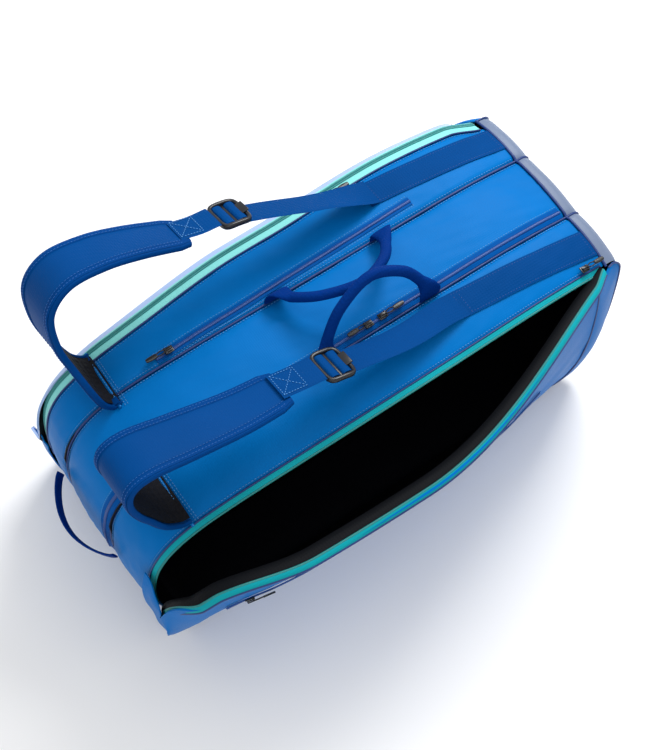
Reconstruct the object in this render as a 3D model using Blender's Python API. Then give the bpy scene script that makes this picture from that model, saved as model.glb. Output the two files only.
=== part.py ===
"""Racket tournament bag, three compartments, lying on its belly with the spine up.

Frame: metres, +Z up, +X along the bag towards its base (head) end, +Y towards the left
compartment.  The origin is on the belly's flat face, under the middle of the bag.
The right compartment is unzipped and its side panel leans out.
"""
import bpy
import math
from mathutils import Vector

# ------------------------------------------------------------------ driving dimensions (m)
LENGTH = 0.750          # handle end to base end
SPINE_Z = 0.345         # top of the spine over the belly face
SEAM_Y = 0.054          # half width of the middle compartment
ZIP_Y = 0.138           # half width at the outer zips, at both ends
ZIP_BOW = 0.016         # how far the outer zips bow out at mid length
SIDE_BULGE = 0.030      # how far a side panel stands proud of its own edges
BELLY_Y = 0.158         # half width of the belly at the side hinge lines
PANEL_X1 = 0.316        # end of the side panels, where the base's side gusset starts
SPINE_X1 = 0.352        # end of the spine, where the grey base starts
T_FABRIC = 0.003        # padded fabric wall
GAP = 0.0004            # running gap between touching pieces
LAID = 0.0014           # underside of a tape laid on a faceted curved panel
TAPE_T = 0.0014         # thickness of a zip tape
OPEN_DEG = 19.0         # how far the right side panel stands open at rest

HANDLE_X = (-0.040, 0.114)
HANDLE_AXIS_Z = 0.352
HANDLE_RISE = 0.088
HANDLE_R = 0.0065
LEFT_HANDLE_LEAN = -52.0
RIGHT_HANDLE_LEAN = 20.0

STRAP_Y = 0.102
STRAP_AXIS_Z = 0.346
STRAP_HALF_W = 0.031
WEBBING_HALF_W = 0.019
LEFT_STRAP_LEAN = 20.0
RIGHT_STRAP_LEAN = 15.0
STITCH_X = 0.150        # where the loose webbing is stitched to the spine
STRAP_BASE_X = -0.292

for ob in list(bpy.data.objects):
    bpy.data.objects.remove(ob, do_unlink=True)

# ------------------------------------------------------------------ materials


def material(name, rgb, rough=0.6, metal=0.0):
    m = bpy.data.materials.new(name)
    m.use_nodes = True
    b = m.node_tree.nodes["Principled BSDF"]
    b.inputs["Base Color"].default_value = (*rgb, 1.0)
    b.inputs["Roughness"].default_value = rough
    b.inputs["Metallic"].default_value = metal
    return m


BLUE = (0.010, 0.130, 0.480)
DEEP = (0.006, 0.070, 0.330)
NAVY = (0.004, 0.030, 0.140)
TEAL = (0.020, 0.440, 0.440)
GREY = (0.200, 0.230, 0.340)
BLACK = (0.010, 0.011, 0.013)

# ------------------------------------------------------------------ curves and surfaces


def catmull(points, t):
    """Point at t (0..1, even in the list's own index) on a smooth curve through the points."""
    n = len(points) - 1
    s = min(max(t, 0.0), 1.0) * n
    i = min(int(s), n - 1)
    f = s - i
    p1, p2 = points[i], points[i + 1]
    p0 = points[i - 1] if i > 0 else tuple(2 * a - b for a, b in zip(p1, p2))
    p3 = points[i + 2] if i + 2 <= n else tuple(2 * a - b for a, b in zip(p2, p1))
    return tuple(
        0.5 * (2 * b + (c - a) * f + (2 * a - 5 * b + 4 * c - d) * f * f + (3 * b - a - 3 * c + d) * f ** 3)
        for a, b, c, d in zip(p0, p1, p2, p3)
    )


# side view of the spine and the handle end: from the base end along the top, round and down
PROFILE = [
    (0.352, 0.331), (0.300, 0.339), (0.240, 0.3438), (0.180, SPINE_Z), (0.100, SPINE_Z), (0.000, SPINE_Z),
    (-0.100, SPINE_Z), (-0.180, SPINE_Z), (-0.240, 0.3432), (-0.290, 0.335), (-0.330, 0.314),
    (-0.356, 0.280), (-0.369, 0.235), (-0.3735, 0.180), (-0.371, 0.120), (-0.362, 0.064), (-0.345, 0.022),
    (-0.336, 0.009),
]
# side view of the grey base: from the belly up and round the corner to the spine's end
BASE_PROFILE = [
    (0.352, 0.009), (0.366, 0.034), (0.373, 0.080), (0.3750, 0.160), (0.3750, 0.250), (0.373, 0.300),
    (0.368, 0.321), (0.3580, 0.3300),
]


def zip_y(x):
    """Half width of the bag at its outer zips."""
    return ZIP_Y + ZIP_BOW * max(0.0, 1.0 - ((x - 0.03) / 0.345) ** 2)


def crown(y, x):
    """How far the fabric stands off the profile: each compartment is puffed between its seams."""
    a = abs(y)
    if a <= SEAM_Y:
        return -0.004 * (a / SEAM_Y) ** 2
    t = (a - SEAM_Y) / (zip_y(x) - SEAM_Y)
    return -0.004 + 0.010 * t * (1.0 - t) - 0.009 * t * t


def path_point(points, t):
    x, z = catmull(points, t)
    e = 1e-4
    x0, z0 = catmull(points, max(0.0, t - e))
    x1, z1 = catmull(points, min(1.0, t + e))
    tx, tz = x1 - x0, z1 - z0
    n = math.hypot(tx, tz)
    return x, z, tz / n, -tx / n   # the last two are the normal's x and z


def outward(points, t, y):
    x, z, nx, nz = path_point(points, t)
    # the path runs towards -X on top, so this side of it is up and out
    c = crown(y, x)
    # the end face's crown runs mostly up and down, so that the two panels' edges meet
    cx = c * (1.0 - max(0.0, nz)) if points is BASE_PROFILE else c
    return Vector((x + nx * cx, y, z + nz * c)), Vector((nx, 0.0, nz))


def side_rows(x):
    """Lowest and highest z of a side panel at a place along the bag."""
    if x > -0.336:
        low = 0.009
    else:
        low = 0.009 + (0.150 - 0.009) * min(1.0, ((-0.336 - x) / 0.0365)) ** 2.2
    hi = None
    for k in range(200):
        t0, t1 = k / 200.0, (k + 1) / 200.0
        a, b = catmull(PROFILE, t0), catmull(PROFILE, t1)
        if (a[0] - x) * (b[0] - x) <= 0 and a[0] != b[0]:
            f = (a[0] - x) / (a[0] - b[0])
            hi = a[1] + f * (b[1] - a[1])
            break
    if hi is None:
        hi = catmull(PROFILE, 0.0)[1]
    hi -= 0.013
    return low, max(hi, low + 0.02)


def side_point(sign, x, v):
    """Closed position of a side panel: v is 0 at the belly and 1 at the zip."""
    low, high = side_rows(x)
    z = low + (high - low) * v
    edge = BELLY_Y + (zip_y(x) - BELLY_Y) * v
    u = max(0.0, 1.0 - abs((x + 0.02) / 0.36) ** 3)
    # fuller towards the base end, where the rackets' heads lie
    if sign > 0:
        full = 0.80 + 0.20 * u if x > -0.02 else 0.35 + 0.65 * u
    else:
        t = min(1.0, max(0.0, (x + 0.03) / 0.30))
        full = 0.33 + 0.47 * t * t * (3.0 - 2.0 * t)
    y = edge + SIDE_BULGE * math.sin(math.pi * v) ** 0.8 * full
    return Vector((x, sign * y, z))


def base_corner_y(z):
    """Where the grey base meets its side gusset, at a height above the belly."""
    v = min(1.0, max(0.0, (z - 0.009) / (0.3205 - 0.009)))
    return BELLY_Y + (ZIP_Y - BELLY_Y) * v + 0.45 * 0.80 * SIDE_BULGE * math.sin(math.pi * v) ** 0.8


# ------------------------------------------------------------------ mesh makers


def finish_object(name, mesh, mat, parent=None):
    ob = bpy.data.objects.new(name, mesh)
    bpy.context.scene.collection.objects.link(ob)
    ob.data.materials.append(mat)
    for p in mesh.polygons:
        p.use_smooth = True
    mesh.set_sharp_from_angle(angle=math.radians(35))
    if parent is not None:
        ob.parent = parent
        ob.matrix_parent_inverse = parent.matrix_world.inverted()
    return ob


def pivot(name, location, rotation=(0.0, 0.0, 0.0)):
    e = bpy.data.objects.new(name, None)
    e.location = location
    e.rotation_euler = rotation
    e.empty_display_size = 0.03
    bpy.context.scene.collection.objects.link(e)
    bpy.context.view_layer.update()
    return e


def thick_sheet(name, surf, nu, nv, t_out, t_in, mat, parent=None):
    """A closed sheet. surf(u, v) gives a point and its outward normal; the sheet lies from
    t_in to t_out along that normal."""
    verts, faces = [], []
    for off in (t_out, t_in):
        for i in range(nu + 1):
            for j in range(nv + 1):
                p, n = surf(i / nu, j / nv)
                verts.append(tuple(p + n * off))
    w = nv + 1
    m = (nu + 1) * w

    def quad(a, b, c, d):
        faces.append((a, b, c))
        faces.append((a, c, d))

    for i in range(nu):
        for j in range(nv):
            a, b, c, d = i * w + j, i * w + j + 1, (i + 1) * w + j + 1, (i + 1) * w + j
            quad(a, b, c, d)
            quad(m + a, m + d, m + c, m + b)
    for i in range(nu):
        a, b = i * w, (i + 1) * w
        quad(a, b, m + b, m + a)
        a, b = i * w + nv, (i + 1) * w + nv
        quad(b, a, m + a, m + b)
    for j in range(nv):
        quad(j + 1, j, m + j, m + j + 1)
        a = nu * w
        quad(a + j, a + j + 1, m + a + j + 1, m + a + j)
    mesh = bpy.data.meshes.new(name)
    mesh.from_pydata(verts, [], faces)
    mesh.validate()
    # one sign for the whole sheet: turn it over if its volume comes out negative
    vol = 0.0
    for f in faces:
        a, b, c = (Vector(verts[k]) for k in f)
        vol += a.dot(b.cross(c))
    if vol < 0:
        mesh.flip_normals()
    return finish_object(name, mesh, mat, parent)


def surf_normal(fn, u, v, sign):
    e = 1e-3
    du = fn(min(1, u + e), v) - fn(max(0, u - e), v)
    dv = fn(u, min(1, v + e)) - fn(u, max(0, v - e))
    n = du.cross(dv)
    n.normalize()
    return n * sign


def cells(name, xs, ys, missing, z0, z1, place, mat, parent=None):
    """A plate made of a grid of cells with some left out, for frames and ladder bars."""
    verts, index, faces = [], {}, []

    def vid(i, j, k):
        if (i, j, k) not in index:
            index[(i, j, k)] = len(verts)
            verts.append(tuple(place(Vector((xs[i], ys[j], (z0, z1)[k])))))
        return index[(i, j, k)]

    full = {(i, j) for i in range(len(xs) - 1) for j in range(len(ys) - 1)} - set(missing)

    def quad(a, b, c, d):
        faces.append((a, b, c))
        faces.append((a, c, d))

    for i, j in sorted(full):
        quad(vid(i, j, 1), vid(i + 1, j, 1), vid(i + 1, j + 1, 1), vid(i, j + 1, 1))
        quad(vid(i, j, 0), vid(i, j + 1, 0), vid(i + 1, j + 1, 0), vid(i + 1, j, 0))
        if (i, j - 1) not in full:
            quad(vid(i, j, 0), vid(i + 1, j, 0), vid(i + 1, j, 1), vid(i, j, 1))
        if (i + 1, j) not in full:
            quad(vid(i + 1, j, 0), vid(i + 1, j + 1, 0), vid(i + 1, j + 1, 1), vid(i + 1, j, 1))
        if (i, j + 1) not in full:
            quad(vid(i + 1, j + 1, 0), vid(i, j + 1, 0), vid(i, j + 1, 1), vid(i + 1, j + 1, 1))
        if (i - 1, j) not in full:
            quad(vid(i, j + 1, 0), vid(i, j, 0), vid(i, j, 1), vid(i, j + 1, 1))
    mesh = bpy.data.meshes.new(name)
    mesh.from_pydata(verts, [], faces)
    mesh.validate()
    return finish_object(name, mesh, mat, parent)


def tube(name, points, radius, mat, parent=None):
    cu = bpy.data.curves.new(name, "CURVE")
    cu.dimensions = "3D"
    cu.bevel_depth = radius
    cu.bevel_resolution = 2
    cu.use_fill_caps = True
    sp = cu.splines.new("POLY")
    sp.points.add(len(points) - 1)
    for p, q in zip(sp.points, points):
        p.co = (*q, 1.0)
    ob = bpy.data.objects.new(name, cu)
    bpy.context.scene.collection.objects.link(ob)
    cu.materials.append(mat)
    if parent is not None:
        ob.parent = parent
        ob.matrix_parent_inverse = parent.matrix_world.inverted()
    return ob


M = {
    "blue": material("coated_polyester_blue", BLUE, 0.45),
    "deep": material("webbing_deep_blue", DEEP, 0.65),
    "navy": material("edge_navy", NAVY, 0.6),
    "teal": material("zip_tape_teal", TEAL, 0.55),
    "grey": material("base_grey", GREY, 0.5),
    "black": material("black_plastic", BLACK, 0.4),
    "lining": material("lining_black", (0.012, 0.014, 0.02), 0.8),
    "tonal": material("zip_tape_blue", (0.03, 0.12, 0.36), 0.6),
}

# ------------------------------------------------------------------ fixed shell
# belly, a flat padded panel with small upturned corners left square
cells("belly_panel", [-0.334, 0.350], [-BELLY_Y + 0.0055, BELLY_Y - 0.0055], [], 0.0, 0.005, lambda p: p, M["navy"])


def gusset(points, y0, y1):
    def surf(u, v):
        x = catmull(points, u)[0]
        a = y0(x) if callable(y0) else y0
        b = y1(x) if callable(y1) else y1
        return outward(points, u, a + (b - a) * v)
    return surf


EDGE = 0.0055
thick_sheet("gusset_middle", gusset(PROFILE, -0.0520, 0.0520), 34, 4, 0.0, -T_FABRIC, M["blue"])
thick_sheet("gusset_left", gusset(PROFILE, 0.0560, lambda x: zip_y(x) - EDGE), 34, 4, 0.0, -T_FABRIC, M["blue"])
thick_sheet("gusset_right", gusset(PROFILE, lambda x: -zip_y(x) + EDGE, -0.0560), 34, 4, 0.0, -T_FABRIC, M["blue"])


def base_sheet(y0, y1):
    def surf(u, v):
        x, z, nx, nz = path_point(BASE_PROFILE, u)
        a, b = y0(z), y1(z)
        y = a + (b - a) * v
        c = crown(max(-ZIP_Y, min(ZIP_Y, y)), x)
        cx = 0.35 * c * (1.0 - max(0.0, nz))
        return Vector((x + nx * cx, y, z + nz * c)), Vector((nx, 0.0, nz))
    return surf


thick_sheet("base_middle", base_sheet(lambda z: -0.0520, lambda z: 0.0520), 14, 3, 0.0, -T_FABRIC, M["grey"])
thick_sheet("base_left", base_sheet(lambda z: 0.0560, lambda z: base_corner_y(z) - 0.0075), 14, 3, 0.0, -T_FABRIC, M["grey"])
thick_sheet("base_right", base_sheet(lambda z: -base_corner_y(z) + 0.0075, lambda z: -0.0560), 14, 3, 0.0, -T_FABRIC, M["grey"])

# the two walls between the compartments, each in the seam between two gussets
for nm, s in (("divider_left", 1), ("divider_right", -1)):
    def wall(u, v, s=s):
        # u runs along the bag, v from the belly up to just under the seam
        x = -0.365 + (0.345 + 0.365) * u
        low, high = side_rows(x)
        return Vector((x, s * (SEAM_Y + 0.0012), low + (high + 0.004 - low) * v)), Vector((0.0, s, 0.0))
    thick_sheet(nm, wall, 26, 1, 0.0, -0.0024, M["lining"])

# side gussets of the base, between a side panel and the grey base
for nm, s in (("base_side_left", 1), ("base_side_right", -1)):
    def bs(u, v, s=s):
        # from the straight end of the side panel to the curved edge of the grey base
        x0 = PANEL_X1 + 0.0015
        z0 = 0.009 + (0.3205 - 0.009) * v
        edge = BELLY_Y + (zip_y(x0) - BELLY_Y) * v
        puff = math.sin(math.pi * v) ** 0.8
        y0 = edge + 0.80 * SIDE_BULGE * puff
        x1, z1 = catmull(BASE_PROFILE, v)
        z1 = 0.009 + (z1 - 0.009) * 0.975
        y1 = base_corner_y(z1)
        return Vector((x0 + (x1 - 0.001 - x0) * u, s * (y0 + (y1 - y0) * u * u + 0.020 * u * (1 - u) * puff), z0 + (z1 - z0) * u))
    thick_sheet(nm, lambda u, v, bs=bs, s=s: (bs(u, v), Vector((0, s, 0))), 4, 8, 0.0, -T_FABRIC, M["navy"])

# ------------------------------------------------------------------ side panels
HINGE_Z = 0.009
pivot_r = pivot("pivot_right_panel", (0.0, -BELLY_Y, HINGE_Z))
pivot_l = pivot("pivot_left_panel", (0.0, BELLY_Y, HINGE_Z))


def panel_surface(s, x0, x1, v0, v1):
    def surf(u, v):
        uu = 0.5 - 0.5 * math.cos(math.pi * u) if (x1 - x0) > 0.5 else u
        x = x0 + (x1 - x0) * uu
        return side_point(s, x, v0 + (v1 - v0) * v)
    return lambda u, v: (surf(u, v), surf_normal_side(surf, u, v, s))


def surf_normal_side(fn, u, v, s):
    n = surf_normal(fn, u, v, 1.0)
    return n if n.y * s > 0 else -n


def strip_on_panel(s, x0, x1, v0, v1):
    return panel_surface(s, x0, x1, v0, v1)


for nm, s, pv in (("side_panel_right", -1, pivot_r), ("side_panel_left", 1, pivot_l)):
    thick_sheet(nm, panel_surface(s, -0.370, PANEL_X1, 0.0, 1.0), 22, 8, 0.0, -T_FABRIC, M["blue"], pv)
for nm, s, pv in (("zip_tape_right_panel", -1, pivot_r), ("zip_tape_left_panel", 1, pivot_l)):
    thick_sheet(nm, panel_surface(s, -0.355, PANEL_X1 - 0.002, 0.962, 0.998), 22, 1, LAID + TAPE_T, LAID, M["teal"], pv)
thick_sheet("side_pocket_zip", panel_surface(-1, -0.300, 0.200, 0.700, 0.735), 14, 1, LAID + TAPE_T, LAID, M["tonal"], pivot_r)

# ------------------------------------------------------------------ zip tapes on the spine
U_END = 14.2 / 17.0     # how far round the handle end the outer zips reach
thick_sheet("zip_tape_left_spine", gusset([PROFILE[i] for i in range(15)], lambda x: zip_y(x) - 0.0165, lambda x: zip_y(x) - 0.0065),
            30, 1, LAID + TAPE_T, LAID, M["teal"])
thick_sheet("zip_tape_right_spine", gusset([PROFILE[i] for i in range(15)], lambda x: -zip_y(x) + 0.0065, lambda x: -zip_y(x) + 0.0165),
            30, 1, LAID + TAPE_T, LAID, M["teal"])
thick_sheet("zip_tape_middle", gusset([PROFILE[i] for i in range(15)], -0.0500, -0.0390), 30, 1, LAID + TAPE_T, LAID, M["tonal"])


def pocket_tape(u, v):
    # the short pocket zip of the left compartment: it leaves the seam slowly towards the base end
    x = -0.215 + 0.400 * u
    y = 0.0585 + 0.0115 * u + 0.0105 * v
    c = crown(y, x)
    z, nx, nz = top_at(x)
    return Vector((x + nx * c, y, z + nz * c)), Vector((nx, 0.0, nz))


def top_at(x):
    lo, hi = 0.0, 0.62
    for _ in range(40):
        mid = 0.5 * (lo + hi)
        if catmull(PROFILE, mid)[0] > x:
            lo = mid
        else:
            hi = mid
    px, pz, nx, nz = path_point(PROFILE, 0.5 * (lo + hi))
    return pz, nx, nz


thick_sheet("zip_tape_pocket", pocket_tape, 12, 1, LAID + TAPE_T, LAID, M["tonal"])

# ------------------------------------------------------------------ sewn webbing strips
for nm, s in (("webbing_strip_left", 1), ("webbing_strip_right", -1)):
    def ws(u, v, s=s):
        x = STITCH_X + 0.003 + (0.345 - STITCH_X - 0.003) * u
        y = s * STRAP_Y - 0.0195 + 0.039 * v
        z, nx, nz = top_at(x)
        c = crown(y, x)
        return Vector((x + nx * c, y, z + nz * c)), Vector((nx, 0.0, nz))
    thick_sheet(nm, ws, 10, 2, LAID + 0.0018, LAID, M["deep"])

# ------------------------------------------------------------------ sliders and pull tabs


def slider(name, x, y, s_dir, lift=LAID + TAPE_T + 0.0006):
    """Zip slider: a low body over the coil, with a bridge for its pull tab."""
    z, nx, nz = top_at(x)
    c = crown(y, x)
    base = Vector((x + nx * c, y, z + nz * c))
    ex = Vector((nz, 0.0, -nx))
    ez = Vector((nx, 0.0, nz))
    ey = Vector((0.0, 1.0, 0.0))

    def place(p):
        return base + ex * (p.x * s_dir) + ey * (p.y * s_dir) + ez * (p.z + lift + GAP)
    xs = [-0.007, -0.0035, 0.0035, 0.007]
    ys = [-0.0045, -0.0018, 0.0018, 0.0045]
    pv = pivot("origin_" + name, base)
    cells(name, xs, ys, [], 0.0, 0.0030, place, M["black"], pv)
    # the pull tab lies back along the zip from a pin over the slider
    hx, hz = 0.0020, 0.0030 + 0.0018
    pp = pivot("pin_" + name, place(Vector((hx, 0.0, hz))))
    tx = [hx - 0.0010, hx + 0.0012, hx + 0.0200, hx + 0.0240, hx + 0.0280]
    ty = [-0.0035, -0.0012, 0.0012, 0.0035]
    cells(name.replace("slider", "pull"), tx, ty, [(3, 1)], hz - 0.0008, hz + 0.0008, place, M["black"], pp)
    return place(Vector((0, 0, 0))), place(Vector((hx, 0, hz))), ex


# (name, x, y, direction the tab points in along X)
slider("slider_middle_front", 0.030, -0.0445, -1)
slider("slider_middle_rear", 0.052, -0.0445, 1)
slider("slider_pocket", -0.196, 0.0643, -1, LAID + TAPE_T + 0.0012)
slider("slider_left_zip", 0.100, zip_y(0.100) - 0.0115, 1, LAID + TAPE_T + 0.0018)
slider("slider_right_zip", 0.318, -zip_y(0.318) + 0.0115, 1, LAID + TAPE_T + 0.0022)

# the side pocket's slider sits on the right side panel
sp_p = side_point(-1, -0.270, 0.7175)
sp_n = surf_normal_side(lambda u, v: side_point(-1, -0.30 + 0.06 * u, 0.69 + 0.05 * v), 0.5, 0.5, -1)
sp_x = Vector((1.0, 0.0, 0.0)) - sp_n * sp_n.x
sp_x.normalize()
sp_y = sp_n.cross(sp_x)


def sp_place(p):
    return sp_p + sp_x * p.x + sp_y * p.y + sp_n * (p.z + LAID + TAPE_T + 0.0014)


sp_origin = pivot("origin_slider_side_pocket", sp_place(Vector((0.0, 0.0, 0.0))))
sp_pin = pivot("pin_slider_side_pocket", sp_place(Vector((0.0020, 0.0, 0.0048))))
for e in (sp_origin, sp_pin):
    e.parent = pivot_r
    e.matrix_parent_inverse = pivot_r.matrix_world.inverted()
bpy.context.view_layer.update()
cells("slider_side_pocket", [-0.007, 0.0, 0.007], [-0.0045, 0.0, 0.0045], [], 0.0, 0.0030, sp_place, M["black"], sp_origin)
cells("pull_side_pocket", [0.0010, 0.0032, 0.0220, 0.0260, 0.0300], [-0.0035, -0.0012, 0.0012, 0.0035], [(3, 1)],
      0.0040, 0.0056, sp_place, M["black"], sp_pin)

# ------------------------------------------------------------------ grab handles
for nm, y, lean in (("grab_handle_left", SEAM_Y, LEFT_HANDLE_LEAN), ("grab_handle_right", -SEAM_Y, RIGHT_HANDLE_LEAN)):
    xa, xb = HANDLE_X
    xm = 0.5 * (xa + xb)
    ctrl = [(xa, 0.006), (xa + 0.007, 0.030), (xa + 0.030, 0.064), (xm, HANDLE_RISE), (xb - 0.030, 0.064), (xb - 0.007, 0.030), (xb, 0.006)]
    sl, cl = math.sin(math.radians(lean)), math.cos(math.radians(lean))
    pts = []
    for k in range(25):
        x, h = catmull(ctrl, k / 24.0)
        pts.append((x, y + h * sl, HANDLE_AXIS_Z + h * cl))
    tube(nm, pts, HANDLE_R, M["deep"], pivot("pivot_" + nm, (xm, y, HANDLE_AXIS_Z)))

# handle-end grab loop: flat webbing across the end face, standing off it
END_AXIS = (-0.382, 0.205)
pe = pivot("pivot_grab_handle_end", (END_AXIS[0], -0.006, END_AXIS[1]))


def end_loop(u, v):
    y = 0.048 - 0.108 * u
    out = 0.026 * math.sin(math.pi * u) ** 0.7
    half = 0.0035 + 0.0085 * math.sin(math.pi * u) ** 0.5
    drop = -0.35 * out
    return Vector((END_AXIS[0] - 0.002 - out, y, END_AXIS[1] + drop - half + 2 * half * v))


thick_sheet("grab_handle_end", lambda u, v: (end_loop(u, v), Vector((-1.0, 0.0, 0.0))), 14, 1, 0.0030, 0.0, M["deep"], pe)

# ------------------------------------------------------------------ shoulder straps
STRAPS = {
    # path of the strap in its own plane: x along the bag, h over the hinge line
    "left": dict(s=1, lean=LEFT_STRAP_LEAN, pad=[(-0.290, 0.008), (-0.302, 0.038), (-0.313, 0.080), (-0.306, 0.128),
                                               (-0.272, 0.151), (-0.232, 0.149), (-0.192, 0.137), (-0.130, 0.108)],
                 tab=((-0.1285, 0.1075), (-0.078, 0.1010)), buckle=(-0.056, 0.0985), web=((-0.0410, 0.0945), (0.1460, 0.0080))),
    "right": dict(s=-1, lean=RIGHT_STRAP_LEAN, pad=[(-0.292, 0.008), (-0.316, 0.034), (-0.340, 0.068), (-0.343, 0.096),
                                                 (-0.318, 0.109), (-0.262, 0.096), (-0.190, 0.078), (-0.136, 0.073)],
                  tab=((-0.1345, 0.0730), (-0.080, 0.0640)), buckle=(-0.058, 0.0590), web=((-0.0430, 0.0550), (0.1400, 0.0080))),
}


def strap_frame(side):
    d = STRAPS[side]
    s, lean = d["s"], math.radians(d["lean"])
    up = Vector((0.0, math.sin(lean), math.cos(lean)))
    lat = Vector((0.0, math.cos(lean), -math.sin(lean)))
    org = Vector((0.0, s * STRAP_Y, STRAP_AXIS_Z))
    return org, up, lat


def band(side, ctrl, width, t_in, t_out, name, mat, nu, nv, parent):
    org, up, lat = strap_frame(side)

    def surf(u, v):
        x, h = catmull(ctrl, u)
        e = 1e-3
        x0, h0 = catmull(ctrl, max(0, u - e))
        x1, h1 = catmull(ctrl, min(1, u + e))
        tx, th = x1 - x0, h1 - h0
        n = math.hypot(tx, th)
        nrm = Vector((-th / n, 0, 0)) + up * (tx / n)
        w = min(width, max(0.0035, h * 0.56))
        return org + Vector((x, 0, 0)) + up * h + lat * (w * (2 * v - 1)), nrm
    return thick_sheet(name, surf, nu, nv, t_out, t_in, mat, parent)


for side in ("left", "right"):
    d = STRAPS[side]
    org, up, lat = strap_frame(side)
    pv = pivot("pivot_strap_" + side, org)
    band(side, d["pad"], STRAP_HALF_W, 0.0, 0.0060, "strap_pad_" + side, M["deep"], 18, 2, pv)
    band(side, d["pad"], STRAP_HALF_W - 0.003, -0.0024, -GAP, "strap_lining_" + side, M["lining"], 18, 2, pv)
    band(side, [d["tab"][0], d["tab"][1]], 0.0190, 0.0010, 0.0030, "strap_tab_" + side, M["deep"], 1, 1, pv)
    band(side, [d["web"][0], d["web"][1]], WEBBING_HALF_W, 0.0, 0.0018, "strap_webbing_" + side, M["deep"], 8, 1, pv)
    bx, bh = d["buckle"]
    (x0, h0), (x1, h1) = d["tab"][1], d["web"][0]
    tx, th = x1 - x0, h1 - h0
    n = math.hypot(tx, th)
    ex = Vector((tx / n, 0, 0)) + up * (th / n)
    ez = Vector((-th / n, 0, 0)) + up * (tx / n)
    cen = org + Vector((0.5 * (x0 + x1), 0, 0)) + up * (0.5 * (h0 + h1))

    def bplace(p, cen=cen, ex=ex, ez=ez, lat=lat):
        return cen + ex * p.x + lat * p.y + ez * p.z
    cells("strap_buckle_" + side, [-0.0170, -0.0125, -0.0075, -0.0030, 0.0030, 0.0085, 0.0130, 0.0170],
          [-0.0250, -0.0205, 0.0205, 0.0250], [(1, 1), (3, 1), (5, 1)], -0.0005, 0.0040, bplace, M["black"], pv)

# ------------------------------------------------------------------ open the right side panel
pivot_r.rotation_euler = (math.radians(OPEN_DEG), 0.0, 0.0)
bpy.context.view_layer.update()
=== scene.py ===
"""Looks of the racket tournament bag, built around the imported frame."""
import math
import bpy
import numpy as np
from mathutils import Vector, Matrix


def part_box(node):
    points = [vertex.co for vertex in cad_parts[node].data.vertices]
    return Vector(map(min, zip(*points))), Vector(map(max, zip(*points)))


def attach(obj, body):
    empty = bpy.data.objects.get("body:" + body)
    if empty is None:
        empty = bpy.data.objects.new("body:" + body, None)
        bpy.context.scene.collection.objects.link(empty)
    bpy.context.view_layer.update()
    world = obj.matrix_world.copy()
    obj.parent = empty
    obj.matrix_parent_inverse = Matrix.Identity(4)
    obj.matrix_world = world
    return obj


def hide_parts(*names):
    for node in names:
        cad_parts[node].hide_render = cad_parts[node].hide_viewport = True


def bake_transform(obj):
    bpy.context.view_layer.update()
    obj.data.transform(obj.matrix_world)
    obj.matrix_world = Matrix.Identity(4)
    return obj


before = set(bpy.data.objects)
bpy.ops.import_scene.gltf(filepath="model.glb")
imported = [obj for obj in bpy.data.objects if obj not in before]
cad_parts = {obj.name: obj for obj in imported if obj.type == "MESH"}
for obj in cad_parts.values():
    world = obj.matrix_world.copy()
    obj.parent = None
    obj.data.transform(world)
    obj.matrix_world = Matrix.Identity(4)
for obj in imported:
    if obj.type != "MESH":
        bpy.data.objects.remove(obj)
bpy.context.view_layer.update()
scene = bpy.context.scene
RNG = np.random.default_rng(7)

# ============================================================ camera
CAM_AZ, CAM_EL, CAM_ROLL = -40.6, 65.0, 6.0
CAM_DIST, CAM_F = 1.709, 1229.0
CAM_TARGET = np.array([-0.0006, -0.0069, 0.165])


def camera_axes(az, el, roll):
    az, el, roll = np.radians([az, el, roll])
    f = np.array([-np.sin(az) * np.cos(el), np.cos(az) * np.cos(el), -np.sin(el)])
    r = np.cross(f, [0, 0, 1.0])
    r /= np.linalg.norm(r)
    u = np.cross(r, f)
    c, s = np.cos(roll), np.sin(roll)
    return c * r + s * u, -s * r + c * u, f


_r, _u, _f = camera_axes(CAM_AZ, CAM_EL, CAM_ROLL)
cam_data = bpy.data.cameras.new("camera")
cam_data.sensor_fit = "AUTO"
cam_data.sensor_width = 36.0
cam_data.lens = CAM_F / 750.0 * 36.0
cam_data.clip_end = 50
cam = bpy.data.objects.new("camera", cam_data)
scene.collection.objects.link(cam)
loc = CAM_TARGET - _f * CAM_DIST
cam.matrix_world = Matrix((
    (_r[0], _u[0], -_f[0], loc[0]),
    (_r[1], _u[1], -_f[1], loc[1]),
    (_r[2], _u[2], -_f[2], loc[2]),
    (0, 0, 0, 1)))
scene.camera = cam

# ============================================================ materials


def lin(rgb):
    out = []
    for c in rgb:
        c /= 255.0
        out.append(c / 12.92 if c <= 0.04045 else ((c + 0.055) / 1.055) ** 2.4)
    return out


def new_mat(name):
    m = bpy.data.materials.new(name)
    m.use_nodes = True
    nt = m.node_tree
    b = nt.nodes["Principled BSDF"]
    return m, nt, b


def math_node(nt, op, a, b=None, clamp=False):
    n = nt.nodes.new("ShaderNodeMath")
    n.operation = op
    n.use_clamp = clamp
    for k, v in enumerate((a, b)):
        if v is None:
            continue
        if isinstance(v, (int, float)):
            n.inputs[k].default_value = v
        else:
            nt.links.new(v, n.inputs[k])
    return n.outputs[0]


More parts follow.
